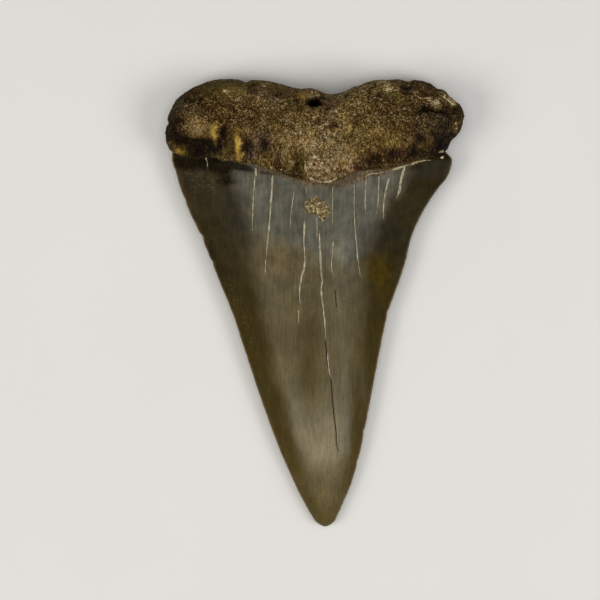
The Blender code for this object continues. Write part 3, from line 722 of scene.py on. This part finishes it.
def crown_masks(x, y, across, is_top, halo):
    """Where each of the enamel's colours lies, from 0 to 1."""
    plan = in_plan(x, y)
    warped_x, warped_y = wandered(x, y, ENAMEL_WANDER)
    left, right, soft = (
        spline(warped_y.ravel(), CORE[:, 0], CORE[:, i]).reshape(x.shape) for i in (1, 2, 3)
    )
    core = smooth_step(left - soft, left + soft, warped_x)
    core *= 1 - smooth_step(right - soft, right + soft, warped_x)
    masks = {
        "core": core,
        "blue": core * blue_zone(warped_x, warped_y),
        "neck": neck_zone(x, y),
        "halo": halo * is_top,
    }
    for name, table in ENAMEL_STAINS.items():
        masks[name] = spots(warped_x, warped_y, table)
    for points, half_width, strength in SOFT_LINES:
        line_x, there = crack_line(points, y[:, :1])
        off = (x - line_x) / half_width
        masks["column"] = masks["column"] + strength * there * np.exp(-(off**2))
    hairs = field(plan, *HAIR_NOISE) * core * smooth_step(*HAIR_REACH, y)
    masks["pale"] = masks["pale"] + HAIR_SHARE * smooth_step(*HAIR_LEVELS, hairs)
    scales = layered(plan, SCALE_NOISE)
    masks["scaly"] = masks["scaly"] * smooth_step(*SCALE_LEVELS, scales)
    masks["dust"] = masks["dust"] * smooth_step(*DUST_LEVELS, field(plan, *DUST_NOISE))
    left, right = crown_edges(y)
    inside = (1 - np.abs(across)) * ((right - left) / 2)
    # The rim is a painted highlight along the cutting edges.
    masks["rim"] = smooth_step(0.0, 1.0, 1 - inside / RIM_WIDTH)
    return masks


def crown_piece():
    """The enamel crown: level rows of lens-shaped sections, with grooves where it cracked."""
    tip, base = CROWN_OUTLINE[TIP_INDEX][1], CROWN_OUTLINE[0][1]
    shares = (np.arange(CROWN_ROWS) + 0.5) / (CROWN_ROWS - 0.5)
    rows = tip + (base - tip) * shares**TIP_CROWDING
    top = crown_columns(rows)
    under = np.tile(np.linspace(1, -1, CROWN_UNDER_COLUMNS + 1)[1:-1], (len(rows), 1))
    across = np.concatenate([top, under], axis=1)
    is_top = np.arange(across.shape[1]) < top.shape[1]
    y = np.repeat(rows[:, None], across.shape[1], axis=1)
    lingual, labial = (z.reshape(y.shape) for z in crown_faces(y.ravel(), across.ravel()))
    left, right = crown_edges(rows)
    x = (left + right)[:, None] / 2 + across * (right - left)[:, None] / 2
    cut = np.where(across < 0, inwards(rows, -1)[:, None], -inwards(rows, 1)[:, None])
    x += cut * smooth_step(EDGE_ZONE, 1, np.abs(across))
    relief = enamel_relief(x, y, across)
    groove, halo = np.zeros(x.shape), np.zeros(x.shape)
    for points, width, filling in CRACKS:
        crack_x, there = crack_line(points, rows)
        off = (x - crack_x[:, None]) / width
        groove += GROOVE_DEPTH[filling] * there[:, None] * np.exp(-((off / GROOVE_SPREAD) ** 2))
        halo += there[:, None] * np.exp(-((off / HALO_SPREAD) ** 2))
    for pit_x, pit_y, radius in SPECK_PITS:
        groove += PIT_DEPTH * np.exp(-(((x - pit_x) ** 2 + (y - pit_y) ** 2) / radius**2))
    masks = crown_masks(x, y, across, is_top, halo)
    relief += SCALE_LIFT * masks["scaly"] + DUST_LIFT * masks["dust"] + NECK_LIFT * masks["neck"]
    bow = ENAMEL_FOOT_BOW * (1 - across**2) * smooth_step(ENAMEL_FOOT_START, base, y)
    z = np.where(is_top, lingual + relief - groove, labial + relief * LABIAL_RELIEF)
    mesh = loft("crown", [np.stack([x, y - bow, np.maximum(z, 0)], -1)])
    write(mesh, masks)
    return mesh


def root_rings():
    """The root's smooth rings across it, from the gum line over the crest and back underneath,
    with each point's share of the way across."""
    shares = (np.arange(ROOT_SECTIONS) + 0.5) / ROOT_SECTIONS
    shares = shares - LOBE_CROWDING * np.sin(2 * math.pi * shares) / (2 * math.pi)
    gum, basal = along(GUM_LINE, shares), along(BASAL_EDGE, shares)
    middle = (gum[:, 0] + basal[:, 0]) / 2
    crest, gum_girdle, basal_girdle, labial_floor = (
        spline(middle, ROOT_STATIONS, heights)[:, None]
        for heights in (CREST_HEIGHT, GUM_GIRDLE, BASAL_GIRDLE, LABIAL_HEIGHT)
    )
    end = np.clip(np.minimum(shares, 1 - shares) / LOBE_ROUNDING, 0, 1)
    fullness = np.sqrt(1 - (1 - end) ** 2)[:, None]
    over = np.linspace(0, math.pi, ROOT_LINGUAL_RING, endpoint=False)
    under = np.linspace(math.pi, 2 * math.pi, ROOT_LABIAL_RING, endpoint=False)
    angle = np.concatenate([over, under])
    is_top = np.arange(len(angle)) < len(over)
    squareness = np.where(is_top, LINGUAL_SQUARENESS, LABIAL_SQUARENESS)
    reach = np.sign(np.cos(angle)) * np.abs(np.cos(angle)) ** (2 / squareness)
    rise = np.abs(np.sin(angle)) ** (2 / squareness) * fullness
    across = ((1 - reach) / 2) ** (1 / CREST_LEAN)
    girdle = gum_girdle + (basal_girdle - gum_girdle) * across
    drawn_in = smooth_step(NECK_SHARE, LABIAL_SHARE, across)
    labial = NECK_HEIGHT + (labial_floor - NECK_HEIGHT) * drawn_in
    z = girdle + (np.where(is_top, crest, labial) - girdle) * rise
    plan = gum[:, None] + (basal - gum)[:, None] * across[:, None]
    return np.concatenate([plan, z[:, :, None]], -1), across + np.zeros(z.shape), is_top


def grain_places(rings, stretch):
    """Places for the bone's grain: along the gum line, up the root from it, where the grain is
    drawn out by the given factor, and less strongly by height."""
    steps = np.linalg.norm(np.diff(rings, axis=1, prepend=rings[:, :1]), axis=2)
    climb = np.cumsum(steps, axis=1)
    return np.stack([rings[:, :, 0], climb / stretch, STREAK_RISE * rings[:, :, 2]], -1)


def root_piece():
    """The root bone: a lumpy bar with two lobes, rough with grain, creases and hollows, with a
    foramen.
    """
    rings, across, is_top = root_rings()
    out = normals(rings)
    x, y = rings[:, :, 0], rings[:, :, 1]
    facing_up = smooth_step(*FACING_UP, out[:, :, 2])
    lift = layered(rings, ROOT_LUMPS)
    lift *= OUTLINE_CALM + (1 - OUTLINE_CALM) * np.abs(out[:, :, 2])
    for bump_x, bump_y, radius, height in ROOT_OUTLINE_BUMPS:
        lift += height * np.exp(-((x - bump_x) ** 2 + (y - bump_y) ** 2) / radius**2)
    lift += spots(x, y, ROOT_PLACES) * facing_up
    foramen = np.hypot((x - FORAMEN_CENTRE[0]) / FORAMEN_HALF[0],
                       (y - FORAMEN_CENTRE[1]) / FORAMEN_HALF[1])
    foramen += layered(rings, [FORAMEN_ROUGHNESS])
    hole = (1 - smooth_step(*FORAMEN_WALL, foramen)) * facing_up
    masks = root_masks(x, y)
    ends = ENDS_SHADE * smooth_step(*ENDS_REACH, np.abs(x))
    lightness = masks["pale"] + YELLOW_LIGHT * masks["yellow"] - masks["dark"] - ends
    masks["tone"] = 0.5 + 0.5 * lightness
    streaky = np.clip(1 - across / STREAK_REACH, 0, 1) * is_top
    smooth = np.clip(masks["smooth"], 0, MOST_SMOOTH)
    creased = smooth_step(*CREASE_PATCH_LEVELS, field(rings, CREASE_PATCH, CREASE_PATCH_SEED))
    creases = np.abs(field(rings, CREASE_SPACING, CREASE_SEED))
    creases = (1 - smooth_step(0, CREASE_WIDTH, creases)) * (creased * (1 - smooth))
    lift -= CREASE_DEPTH * creases
    masks["tone"] -= CREASE_SHADE * creases
    grain = np.zeros(x.shape)
    drawn_out = grain_places(rings, STREAK_LENGTH)
    for wavelength, depth in BONE_GRAIN:
        even, drawn = (field(at, wavelength, GRAIN_SEED) for at in (rings, drawn_out))
        grain += depth * (even + (drawn - even) * streaky)
    grain *= (1 - smooth) * np.where(is_top, 1, LABIAL_GRAIN)
    moved = rings + out * (lift + grain)[:, :, None]
    moved[:, :, 2] -= FORAMEN_DEPTH * hole
    moved[:, :, 2] = np.maximum(moved[:, :, 2], 0)
    mesh = loft("root", [moved])
    # painted shade: the bone's colour is darker in the grain's hollows and lighter on its ridges
    masks["relief"] = 0.5 + grain / GRAIN_SPAN
    write(mesh, {**masks, "hole": hole, "streaky": streaky})
    return mesh


def root_masks(x, y):
    """Where each of the root's stains lies, from 0 to 1."""
    places = wandered(x, y, ROOT_WANDER)
    return {name: spots(*places, table) for name, table in ROOT_STAINS.items()}


def surface_of(meshes):
    """A function that gives the highest surface of these meshes over places in plan."""
    trees = [
        BVHTree.FromPolygons([vertex.co for vertex in mesh.vertices],
                             [face.vertices for face in mesh.polygons])
        for mesh in meshes
    ]

    def height(x, y):
        heights = []
        for place in zip(np.ravel(x), np.ravel(y)):
            start = Vector((*place, ABOVE_ALL)) * MM
            hits = [tree.ray_cast(start, Vector((0, 0, -1)))[0] for tree in trees]
            heights.append(max((hit.z / MM for hit in hits if hit), default=0))
        return np.reshape(heights, np.shape(x))

    return height


def settled(surface):
    """Heights along a path, without the jumps where it crosses a steep wall."""
    count = len(surface)
    for summary in (np.min, np.mean):
        padded = np.pad(surface, ((SETTLING, SETTLING), (0, 0)), "edge")
        surface = summary([padded[i:i + count] for i in range(2 * SETTLING + 1)], axis=0)
    return surface


def thread(points, width, top, height, seed, uneven, settle=False):
    """Rings of a lens-shaped filling along a line in plan: points, width, the height of its top
    over the surface, the surface as a function of x and y, the noise's seed, how uneven its
    breadth is, and whether it evens out the surface's jumps."""
    length = np.linalg.norm(np.diff(points, axis=0), axis=1).sum()
    count = max(int(length / THREAD_STEP), FEWEST_SECTIONS)
    shares = (np.arange(count) + 0.5) / count
    centre = along(points, shares)
    line = in_plan(centre[:, 0] + seed, centre[:, 1])
    centre += THREAD_WANDER * np.stack([field(line, *wave) for wave in THREAD_WANDER_NOISE], -1)
    direction = np.gradient(centre, axis=0)
    direction /= np.linalg.norm(direction, axis=1, keepdims=True)
    sideways = np.stack([direction[:, 1], -direction[:, 0]], -1)
    taper = 1 - smooth_step(TAPER_START, 1, shares) * TAPER
    waves = sum(field(line, wavelength, seed + more) for wavelength, more in BREADTH_NOISE)
    breadth = smooth_step(0, THREAD_START, shares) * taper * (1 + uneven * waves)
    half = width * FILLING_SHARE / 2 * np.clip(breadth, *BREADTH_LIMITS)
    places = centre[:, None] + sideways[:, None] * (half[:, None] * THREAD_ACROSS)[:, :, None]
    surface = height(places[:, :, 0].ravel(), places[:, :, 1].ravel()).reshape(places.shape[:2])
    if settle:
        surface = settled(surface)
    flat = in_plan(places[:, :, 0], places[:, :, 1])
    lumps = 1 + THREAD_LUMPS * field(flat, THREAD_LUMP_SIZE, seed)
    z = surface + np.where(THREAD_RISE > 0, THREAD_RISE * top * lumps, THREAD_RISE * THREAD_FOOT)
    return np.concatenate([places, z[:, :, None]], -1)


def crack_fillings(filling):
    """The sediment in the cracks, or dark ribbons in the open ones, painted shadow in their
    depths.
    """
    top = FILLING_TOP[filling]
    grids = [
        thread(points, width, top, enamel_height, 10.0 * number, CRACK_UNEVENNESS)
        for number, (points, width, kind) in enumerate(CRACKS)
        if kind == filling
    ]
    return loft(f"crack_{filling}", grids)


def crust(name, rim, thickness, height, seed):
    """A granular patch of sediment laid over the surface, its rim and underside sunk in it."""
    turns = np.linspace(0, 1, CRUST_COLUMNS, endpoint=False)
    outward = np.linspace(0.01, 1, CRUST_ROWS)
    reach = np.concatenate([outward, outward[::-CRUST_UNDER_STEP]])[:, None]
    is_top = np.arange(len(reach))[:, None] < len(outward)
    border = along(rim + rim[:1], turns)
    centre = border.mean(0)
    ragged = 1 + CRUST_RAGGEDNESS * field(in_plan(*border.T), CRUST_RAG_SIZE, seed)
    x, y = (centre[i] + (border[:, i] - centre[i]) * reach * ragged for i in range(2))
    beneath = sum(height(x + dx, y + dy) for dx, dy in CRUST_SMOOTHING) / len(CRUST_SMOOTHING)
    dome = (1 - reach**2) ** 0.5
    places = in_plan(x, y)
    lumps = thickness * dome * (1 + CRUST_LUMPS * field(places, CRUST_LUMP_SIZE, seed))
    grains = sum(weight * field(places, size, seed) for size, weight in CRUST_GRAIN)
    grain_lift = CRUST_GRAIN_LIFT * grains * (RIM_GRAIN + (1 - RIM_GRAIN) * dome)
    top = beneath + lumps + grain_lift - CRUST_SINK * reach**CRUST_SINK_POWER
    places[:, :, 2] = np.where(is_top, top, beneath - CRUST_DEPTH * (CRUST_RIM_DEPTH + dome))
    mesh = loft(name, [places])
    # painted shade: the crust is darker between its grains and lighter on them
    write(mesh, {"relief": 0.5 + CRUST_GRAIN_SPAN * grains})
    return mesh


def chips(height):
    """Small pale chips sunk halfway into the surface."""
    turn = np.linspace(0, 2 * math.pi, CHIP_RING, endpoint=False)
    fall = np.linspace(*CHIP_ENDS, CHIP_ROWS) * math.pi
    grids = []
    for x, y, length, width, bearing in CHIPS:
        corners = 1 + CHIP_CORNER_SHARE * np.sin(CHIP_CORNERS * turn + x)
        radius = np.sin(fall)[:, None] * corners
        u = radius * np.cos(turn) * length / 2
        v = radius * np.sin(turn) * width / 2
        angle = math.radians(bearing)
        place_x = x + u * math.cos(angle) - v * math.sin(angle)
        place_y = y + u * math.sin(angle) + v * math.cos(angle)
        z = height(np.array([x]), np.array([y]))[0]
        z = z + np.cos(fall)[:, None] * width * CHIP_THICKNESS + 0 * place_x
        grids.append(np.stack([place_x, place_y, z], -1))
    return loft("chips", grids)


# Colours, as sRGB levels from 0 to 255. The enamel's flanks and core change along y, given in
# millimetres, and each stain lies over the last, with how fully its mask covers.
FLANK_TONES = (
    (-31.0, (88, 74, 40)), (-25.3, (83, 70, 36)), (-19.6, (78, 65, 31)), (-13.9, (69, 58, 26)),
    (-6.7, (63, 52, 19)), (1.9, (53, 43, 16)), (7.6, (48, 41, 19)), (14.7, (45, 38, 15)),
    (19.0, (41, 33, 11)),
)
# The core's lightest tones, from y -21 to -18.6, are a painted highlight low in the crown's
# middle.
CORE_TONES = (
    (-30.9, (90, 76, 40)), (-28.0, (98, 86, 56)), (-24.4, (106, 94, 65)), (-21.0, (126, 116, 90)),
    (-18.6, (124, 114, 88)), (-15.0, (106, 96, 70)), (-11.0, (94, 84, 56)), (-6.0, (92, 81, 53)),
    (0.0, (92, 82, 55)), (5.0, (94, 84, 60)), (12.0, (92, 84, 64)), (19.0, (84, 76, 58)),
)
ENAMEL_LAYERS = (
    ("blue", (90, 88, 75), 1.0),
    ("brown", (94, 78, 48), 0.75),
    ("column", (74, 62, 36), 0.7),
    # pale: pale streaks, and a painted highlight band near the tip
    ("pale", (112, 110, 94), 0.6),
    # bright: painted highlight
    ("painted_highlight", (136, 126, 98), 0.6),
    ("shade", (38, 33, 20), 0.6),
    ("yellow", (66, 52, 0), 0.95),
    ("dust", (98, 84, 52), 0.4),
    ("scaly", (92, 84, 60), 0.6),
    ("orange", (84, 54, 6), 0.6),
    ("neck", (96, 80, 60), 0.85),
    ("soot", (22, 15, 5), 0.9),
    ("halo", (112, 104, 82), 0.2),
    # rim: painted highlight along the cutting edges
    ("rim", (128, 114, 82), 0.75),
)
BONE_TONES = (
    (0.0, (12, 7, 2)), (0.26, (38, 25, 8)), (0.44, (71, 52, 22)), (0.58, (99, 79, 42)),
    (0.78, (147, 128, 88)), (1.0, (194, 180, 142)),
)
BONE_TINTS = (
    ("green", (88, 82, 34), 0.6),
    ("purple", (62, 34, 38), 0.7),
    ("yellow", (150, 122, 46), 0.9),
    ("grey", (88, 82, 70), 0.6),
)
# The foramen is painted near black: painted shade in the hole.
BONE_HOLE_SHADE = (6, 4, 3)
# The relief's weight in the bone's colour paints shade: darker hollows, lighter ridges.
BONE_GRAINS, BONE_RELIEF_SHADE, BONE_TONE = 1.5, 0.5, 0.8
CRUST_TONES = (
    (0.0, (40, 28, 12)), (0.3, (92, 74, 42)), (0.55, (134, 117, 80)), (0.8, (172, 156, 118)),
    (1.0, (206, 194, 164)),
)
GUM_CRUST_TONES = (
    (0.0, (40, 26, 10)), (0.3, (86, 66, 36)), (0.55, (123, 102, 67)), (0.8, (160, 139, 103)),
    (1.0, (200, 184, 154)),
)
# The relief's weight in the crust's colour paints shade between the grains.
CRUST_GRAINS, CRUST_RELIEF_SHADE = 1.6, 1.1
SEDIMENT, SEDIMENT_LIGHT = (132, 112, 78), (200, 185, 150)
# The open cracks' dark colour is painted shadow inside them.
FILLING, FILLING_LIGHT, OPEN_CRACK_SHADOW = (136, 126, 102), (186, 177, 152), (48, 38, 22)
FLOOR = (231, 229, 224)

# Each surface's roughness and specular level, and its bump: depth and strength.
ENAMEL_GLOSS, ENAMEL_BUMP = (0.38, 0.06), (0.02, 0.35)
BONE_GLOSS, BONE_BUMP = (0.85, 0.1), (0.12, 0.8)
CRUST_GLOSS, CRUST_BUMP = (0.92, 0.1), (0.1, 0.8)
FILLING_SPECULAR, FILLING_BUMP = 0.15, (0.04, 0.8)
FILLING_ROUGHNESS = {"sediment": 0.9, "open": 0.8, "seam": 0.95}
FLOOR_GLOSS = (0.9, 0.1)

# Noise that varies a tone: wavelengths along x, y and z, detail, and the lowest and highest
# value that it gives, with the noise's own levels for these where they aren't the usual ones.
# The enamel has broad clouds, streaks along the tooth and specks, and mottles whose share grows
# from one y to another. Blotches lie in its dirt, and wear varies its roughness.
ENAMEL_CLOUDS = (
    ((4, 6, 5), 3, 0.87, 1.12),
    ((0.24, 4, 0.5), 3, 0.87, 1.13),
    ((0.22, 0.28, 0.25), 1, 0.92, 1.08),
)
ENAMEL_MOTTLES, MOTTLE_REACH, MOTTLE_SHARES = ((1.3, 1.8, 1.4), 4, 0.76, 1.22), (-6, 8), (0.25, 1)
ENAMEL_BLOTCHES = ((0.25, 0.5, 0.3), 2, 0.6, 1.35, 0.35, 0.65)
ENAMEL_WEAR = ((1.4, 3, 1.4), 3, 0.32, 0.44)
NECK_DIRT, DIRT_ROUGHNESS = 0.9, 0.4
ENAMEL_SCRATCHES = (0.25, 3, 0.4)
BONE_SPECKLE, BONE_CALM = ((0.2, 0.22, 0.2), (0.17, 0.5, 0.3)), 0.35
BONE_OCHRE, OCHRE_CLOUDS = (128, 92, 30), ((1.6, 1.6, 1.6), 3, 0, 0.5, 0.45, 0.7)
BONE_CLOUDS = ((2.2, 2.2, 2.2), 3, 0.82, 1.12)
CRUST_SPECKLE = (0.19, 0.19, 0.19)
FILLING_PATCHES, FILLING_GRAIN = ((0.25, 0.8, 0.3), 3, 0, 1, 0.35, 0.65), (0.1, 0.14, 0.1)
FLOOR_CLOUDS = ((30, 30, 30), 3, 0.985, 1)


def srgb(levels):
    """The linear colour, with alpha, of sRGB levels from 0 to 255."""
    shares = [level / 255 for level in levels]
    linear = [s / 12.92 if s <= 0.04045 else ((s + 0.055) / 1.055) ** 2.4 for s in shares]
    return (*linear, 1)


def node(tree, kind, inputs, **settings):
    """A node with its settings, and its inputs by name or number as values or links."""
    made = tree.nodes.new(kind)
    for name, value in settings.items():
        setattr(made, name, value)
    for name, value in inputs.items():
        if isinstance(value, bpy.types.NodeSocket):
            tree.links.new(value, made.inputs[name])
        else:
            made.inputs[name].default_value = value
    return made


def mask(tree, name):
    return node(tree, "ShaderNodeAttribute", {}, attribute_name=name).outputs["Fac"]


def grain(tree, wavelengths, detail=2.0):
    """Noise about 0.5, with the given wavelengths in millimetres along x, y and z."""
    place = node(tree, "ShaderNodeTexCoord", {}).outputs["Object"]
    scale = tuple(1 / (wavelength * MM) for wavelength in wavelengths)
    scaled = node(tree, "ShaderNodeVectorMath", {0: place, 1: scale}, operation="MULTIPLY")
    inputs = {"Vector": scaled.outputs[0], "Scale": 1.0, "Detail": detail}
    return node(tree, "ShaderNodeTexNoise", inputs).outputs["Fac"]


def ramp(tree, value, low, high, to_low=0.0, to_high=1.0):
    inputs = {"Value": value, "From Min": low, "From Max": high,
              "To Min": to_low, "To Max": to_high}
    made = node(tree, "ShaderNodeMapRange", inputs, interpolation_type="SMOOTHSTEP")
    return made.outputs["Result"]


def clouded(tree, wavelengths, detail, to_low, to_high, low=0.3, high=0.7):
    """Noise of these wavelengths, from one value where it is low to another where it is high."""
    return ramp(tree, grain(tree, wavelengths, detail), low, high, to_low, to_high)


def gradient(tree, value, stops, low=0.0, high=1.0):
    """Colours along a value that runs from low to high, from stops of places and sRGB levels."""
    share = node(tree, "ShaderNodeMapRange", {"Value": value, "From Min": low, "From Max": high})
    made = node(tree, "ShaderNodeValToRGB", {0: share.outputs["Result"]})
    marks = made.color_ramp.elements
    while len(marks) < len(stops):
        marks.new(1.0)
    for mark, (place, _) in zip(marks, stops):
        mark.position = (place - low) / (high - low)
    for mark, (_, levels) in zip(marks, stops):
        mark.color = srgb(levels)
    return made.outputs["Color"]


def mingled(tree, parts):
    """The sum of values about 0.5, each with its weight, again about 0.5."""
    total = 0.5 - 0.5 * sum(weight for _, weight in parts)
    for value, weight in parts:
        inputs = {0: value, 1: weight, 2: total}
        total = node(tree, "ShaderNodeMath", inputs, operation="MULTIPLY_ADD").outputs[0]
    return total


def times(tree, one, other):
    return node(tree, "ShaderNodeMath", {0: one, 1: other}, operation="MULTIPLY").outputs[0]


def tint(tree, base, colour, share, blend="MIX"):
    """The base colour with another over it, as sRGB levels or from a socket."""
    over = colour if isinstance(colour, bpy.types.NodeSocket) else srgb(colour)
    under = base if isinstance(base, bpy.types.NodeSocket) else srgb(base)
    made = node(tree, "ShaderNodeMix", {0: share, 6: under, 7: over}, data_type="RGBA",
                blend_type=blend)
    return made.outputs[2]


def material(name, roughness, specular):
    """A material with its own plain values, its tree, and its shader."""
    made = bpy.data.materials.new(name)
    made.use_nodes = True
    shader = made.node_tree.nodes["Principled BSDF"]
    shader.inputs["Roughness"].default_value = roughness
    shader.inputs["Specular IOR Level"].default_value = specular
    return made, made.node_tree, shader


def bumped(tree, shader, height, depth, strength):
    """Relief too fine for the mesh, this many millimetres deep."""
    inputs = {"Height": height, "Distance": depth * MM, "Strength": strength}
    bump = node(tree, "ShaderNodeBump", inputs)
    tree.links.new(bump.outputs["Normal"], shader.inputs["Normal"])


def enamel_material():
    """Tones along the tooth, stains and painted highlights over them, then noise that lightens and
    darkens them. Dirty places are blotchier and duller."""
    made, tree, shader = material("polished enamel", *ENAMEL_GLOSS)
    place = node(tree, "ShaderNodeTexCoord", {}).outputs["Object"]
    height = node(tree, "ShaderNodeSeparateXYZ", {0: place}).outputs["Y"]
    millimetres = times(tree, height, 1 / MM)
    flank, core = (
        gradient(tree, millimetres, stops, stops[0][0], stops[-1][0])
        for stops in (FLANK_TONES, CORE_TONES)
    )
    colour = tint(tree, flank, core, mask(tree, "core"))
    for name, levels, share in ENAMEL_LAYERS:
        colour = tint(tree, colour, levels, times(tree, mask(tree, name), share))
    for cloud in ENAMEL_CLOUDS:
        colour = tint(tree, colour, clouded(tree, *cloud), 1.0, "MULTIPLY")
    upwards = ramp(tree, millimetres, *MOTTLE_REACH, *MOTTLE_SHARES)
    colour = tint(tree, colour, clouded(tree, *ENAMEL_MOTTLES), upwards, "MULTIPLY")
    dirty = times(tree, mask(tree, "neck"), NECK_DIRT)
    for name in ("scaly", "soot", "dust"):
        inputs = {0: dirty, 1: mask(tree, name)}
        dirty = node(tree, "ShaderNodeMath", inputs, operation="MAXIMUM").outputs[0]
    colour = tint(tree, colour, clouded(tree, *ENAMEL_BLOTCHES), dirty, "MULTIPLY")
    tree.links.new(colour, shader.inputs["Base Color"])
    inputs = {0: dirty, 1: DIRT_ROUGHNESS, 2: clouded(tree, *ENAMEL_WEAR)}
    dull = node(tree, "ShaderNodeMath", inputs, operation="MULTIPLY_ADD")
    tree.links.new(dull.outputs[0], shader.inputs["Roughness"])
    bumped(tree, shader, grain(tree, ENAMEL_SCRATCHES), *ENAMEL_BUMP)
    return made


def bone_material():
    """Light and dark by fine speckle, relief and stains, then tinted by the stains' colours. The
    relief paints shade: darker in its hollows, lighter on its ridges.
    """
    made, tree, shader = material("root bone", *BONE_GLOSS)
    even, drawn = (grain(tree, sizes) for sizes in BONE_SPECKLE)
    speckle = node(tree, "ShaderNodeMix", {0: mask(tree, "streaky"), 2: even, 3: drawn}).outputs[0]
    calm = ramp(tree, mask(tree, "smooth"), 0.0, 1.0, 1.0, BONE_CALM)
    calmed = node(tree, "ShaderNodeMix", {0: calm, 2: 0.5, 3: speckle}).outputs[0]
    parts = ((calmed, BONE_GRAINS), (mask(tree, "relief"), BONE_RELIEF_SHADE),
             (mask(tree, "tone"), BONE_TONE))
    colour = gradient(tree, mingled(tree, parts), BONE_TONES)
    for name, levels, share in BONE_TINTS:
        colour = tint(tree, colour, levels, times(tree, mask(tree, name), share), "COLOR")
    colour = tint(tree, colour, BONE_OCHRE, clouded(tree, *OCHRE_CLOUDS), "COLOR")
    colour = tint(tree, colour, clouded(tree, *BONE_CLOUDS), 1.0, "MULTIPLY")
    # painted shade inside the foramen
    colour = tint(tree, colour, BONE_HOLE_SHADE, mask(tree, "hole"))
    tree.links.new(colour, shader.inputs["Base Color"])
    bumped(tree, shader, calmed, *BONE_BUMP)
    return made


def sediment_material(name, tones):
    made, tree, shader = material(name, *CRUST_GLOSS)
    speckle = grain(tree, CRUST_SPECKLE)
    parts = ((speckle, CRUST_GRAINS), (mask(tree, "relief"), CRUST_RELIEF_SHADE))
    colour = gradient(tree, mingled(tree, parts), tones)
    tree.links.new(colour, shader.inputs["Base Color"])
    bumped(tree, shader, speckle, *CRUST_BUMP)
    return made


def filling_material(name, dull, light, roughness):
    made, tree, shader = material(name, roughness, FILLING_SPECULAR)
    colour = tint(tree, dull, light, clouded(tree, *FILLING_PATCHES))
    tree.links.new(colour, shader.inputs["Base Color"])
    bumped(tree, shader, grain(tree, FILLING_GRAIN), *FILLING_BUMP)
    return made


def floor_material():
    made, tree, shader = material("pale floor", *FLOOR_GLOSS)
    colour = tint(tree, FLOOR, clouded(tree, *FLOOR_CLOUDS), 1.0, "MULTIPLY")
    tree.links.new(colour, shader.inputs["Base Color"])
    return made


def show(mesh, finish):
    shown = bpy.data.objects.new(mesh.name, mesh)
    mesh.materials.append(finish)
    bpy.context.scene.collection.objects.link(shown)
    return shown


def floor():
    half = FLOOR_HALF
    mesh = bpy.data.meshes.new("floor")
    corners = [(-half, -half), (half, -half), (half, half), (-half, half)]
    mesh.from_pydata([(x, y, -FLOOR_GAP) for x, y in corners], [], [(0, 1, 2, 3)])
    return show(mesh, floor_material())


def area_light(name, place, size, power, colour, mirrored):
    lamp = bpy.data.lights.new(name, "AREA")
    lamp.shape, lamp.size, lamp.energy, lamp.color = "DISK", size, power, colour
    placed = bpy.data.objects.new(name, lamp)
    placed.location = place
    placed.rotation_euler = (-Vector(place)).to_track_quat("-Z", "Y").to_euler()
    placed.visible_camera = False
    placed.visible_glossy = mirrored
    bpy.context.scene.collection.objects.link(placed)


def camera():
    lens = bpy.data.cameras.new("camera")
    lens.lens, lens.sensor_width = CAMERA_LENS, CAMERA_SENSOR
    lens.clip_start, lens.clip_end = CAMERA_CLIP
    placed = bpy.data.objects.new("camera", lens)
    distance = FRAME_WIDTH * CAMERA_LENS / CAMERA_SENSOR
    placed.location = Vector((*FRAME_CENTRE, FRAME_HEIGHT + distance)) * MM
    bpy.context.scene.collection.objects.link(placed)
    bpy.context.scene.camera = placed


def studio():
    floor()
    for light in LIGHTS:
        area_light(*light)
    world = bpy.data.worlds.new("studio")
    world.use_nodes = True
    background = world.node_tree.nodes["Background"]
    background.inputs["Color"].default_value = (1, 1, 1, 1)
    background.inputs["Strength"].default_value = WORLD_STRENGTH
    bpy.context.scene.world = world
    bpy.context.scene.view_settings.view_transform = "Standard"
    camera()


def main():
    crown, root = crown_piece(), root_piece()
    tooth = surface_of([crown, root])
    crusts = [crust(*given, tooth, 13.0 * number) for number, given in enumerate(CRUSTS)]
    highest = surface_of([crown, root, *crusts])
    seams = [
        thread(points, width, top, highest, 7.0 * number, SEAM_UNEVENNESS, settle=True)
        for number, (points, width, top) in enumerate(SEAMS)
    ]
    filling, dark, pale = (
        filling_material(name, dull, light, FILLING_ROUGHNESS[kind])
        for name, dull, light, kind in (
            ("crack sediment", FILLING, FILLING_LIGHT, "sediment"),
            ("open crack shadows", OPEN_CRACK_SHADOW, OPEN_CRACK_SHADOW, "open"),
            ("seam sediment", SEDIMENT, SEDIMENT_LIGHT, "seam"),
        )
    )
    pieces = (
        (crown, enamel_material(), "enamel"),
        (root, bone_material(), "root_bone"),
        (crack_fillings("sediment"), filling, "sediment"),
        # the open cracks' dark ribbons are painted shadow
        (crack_fillings("open"), dark, "enamel"),
        (crusts[0], sediment_material("sediment", CRUST_TONES), "sediment"),
        (crusts[1], sediment_material("gum line sediment", GUM_CRUST_TONES), "sediment"),
        (loft("seams", seams), pale, "sediment"),
        (chips(highest), pale, "sediment"),
    )
    for mesh, finish, slot in pieces:
        piece = show(mesh, finish)
        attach(piece, "root")
        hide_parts("tooth")


studio()
main()
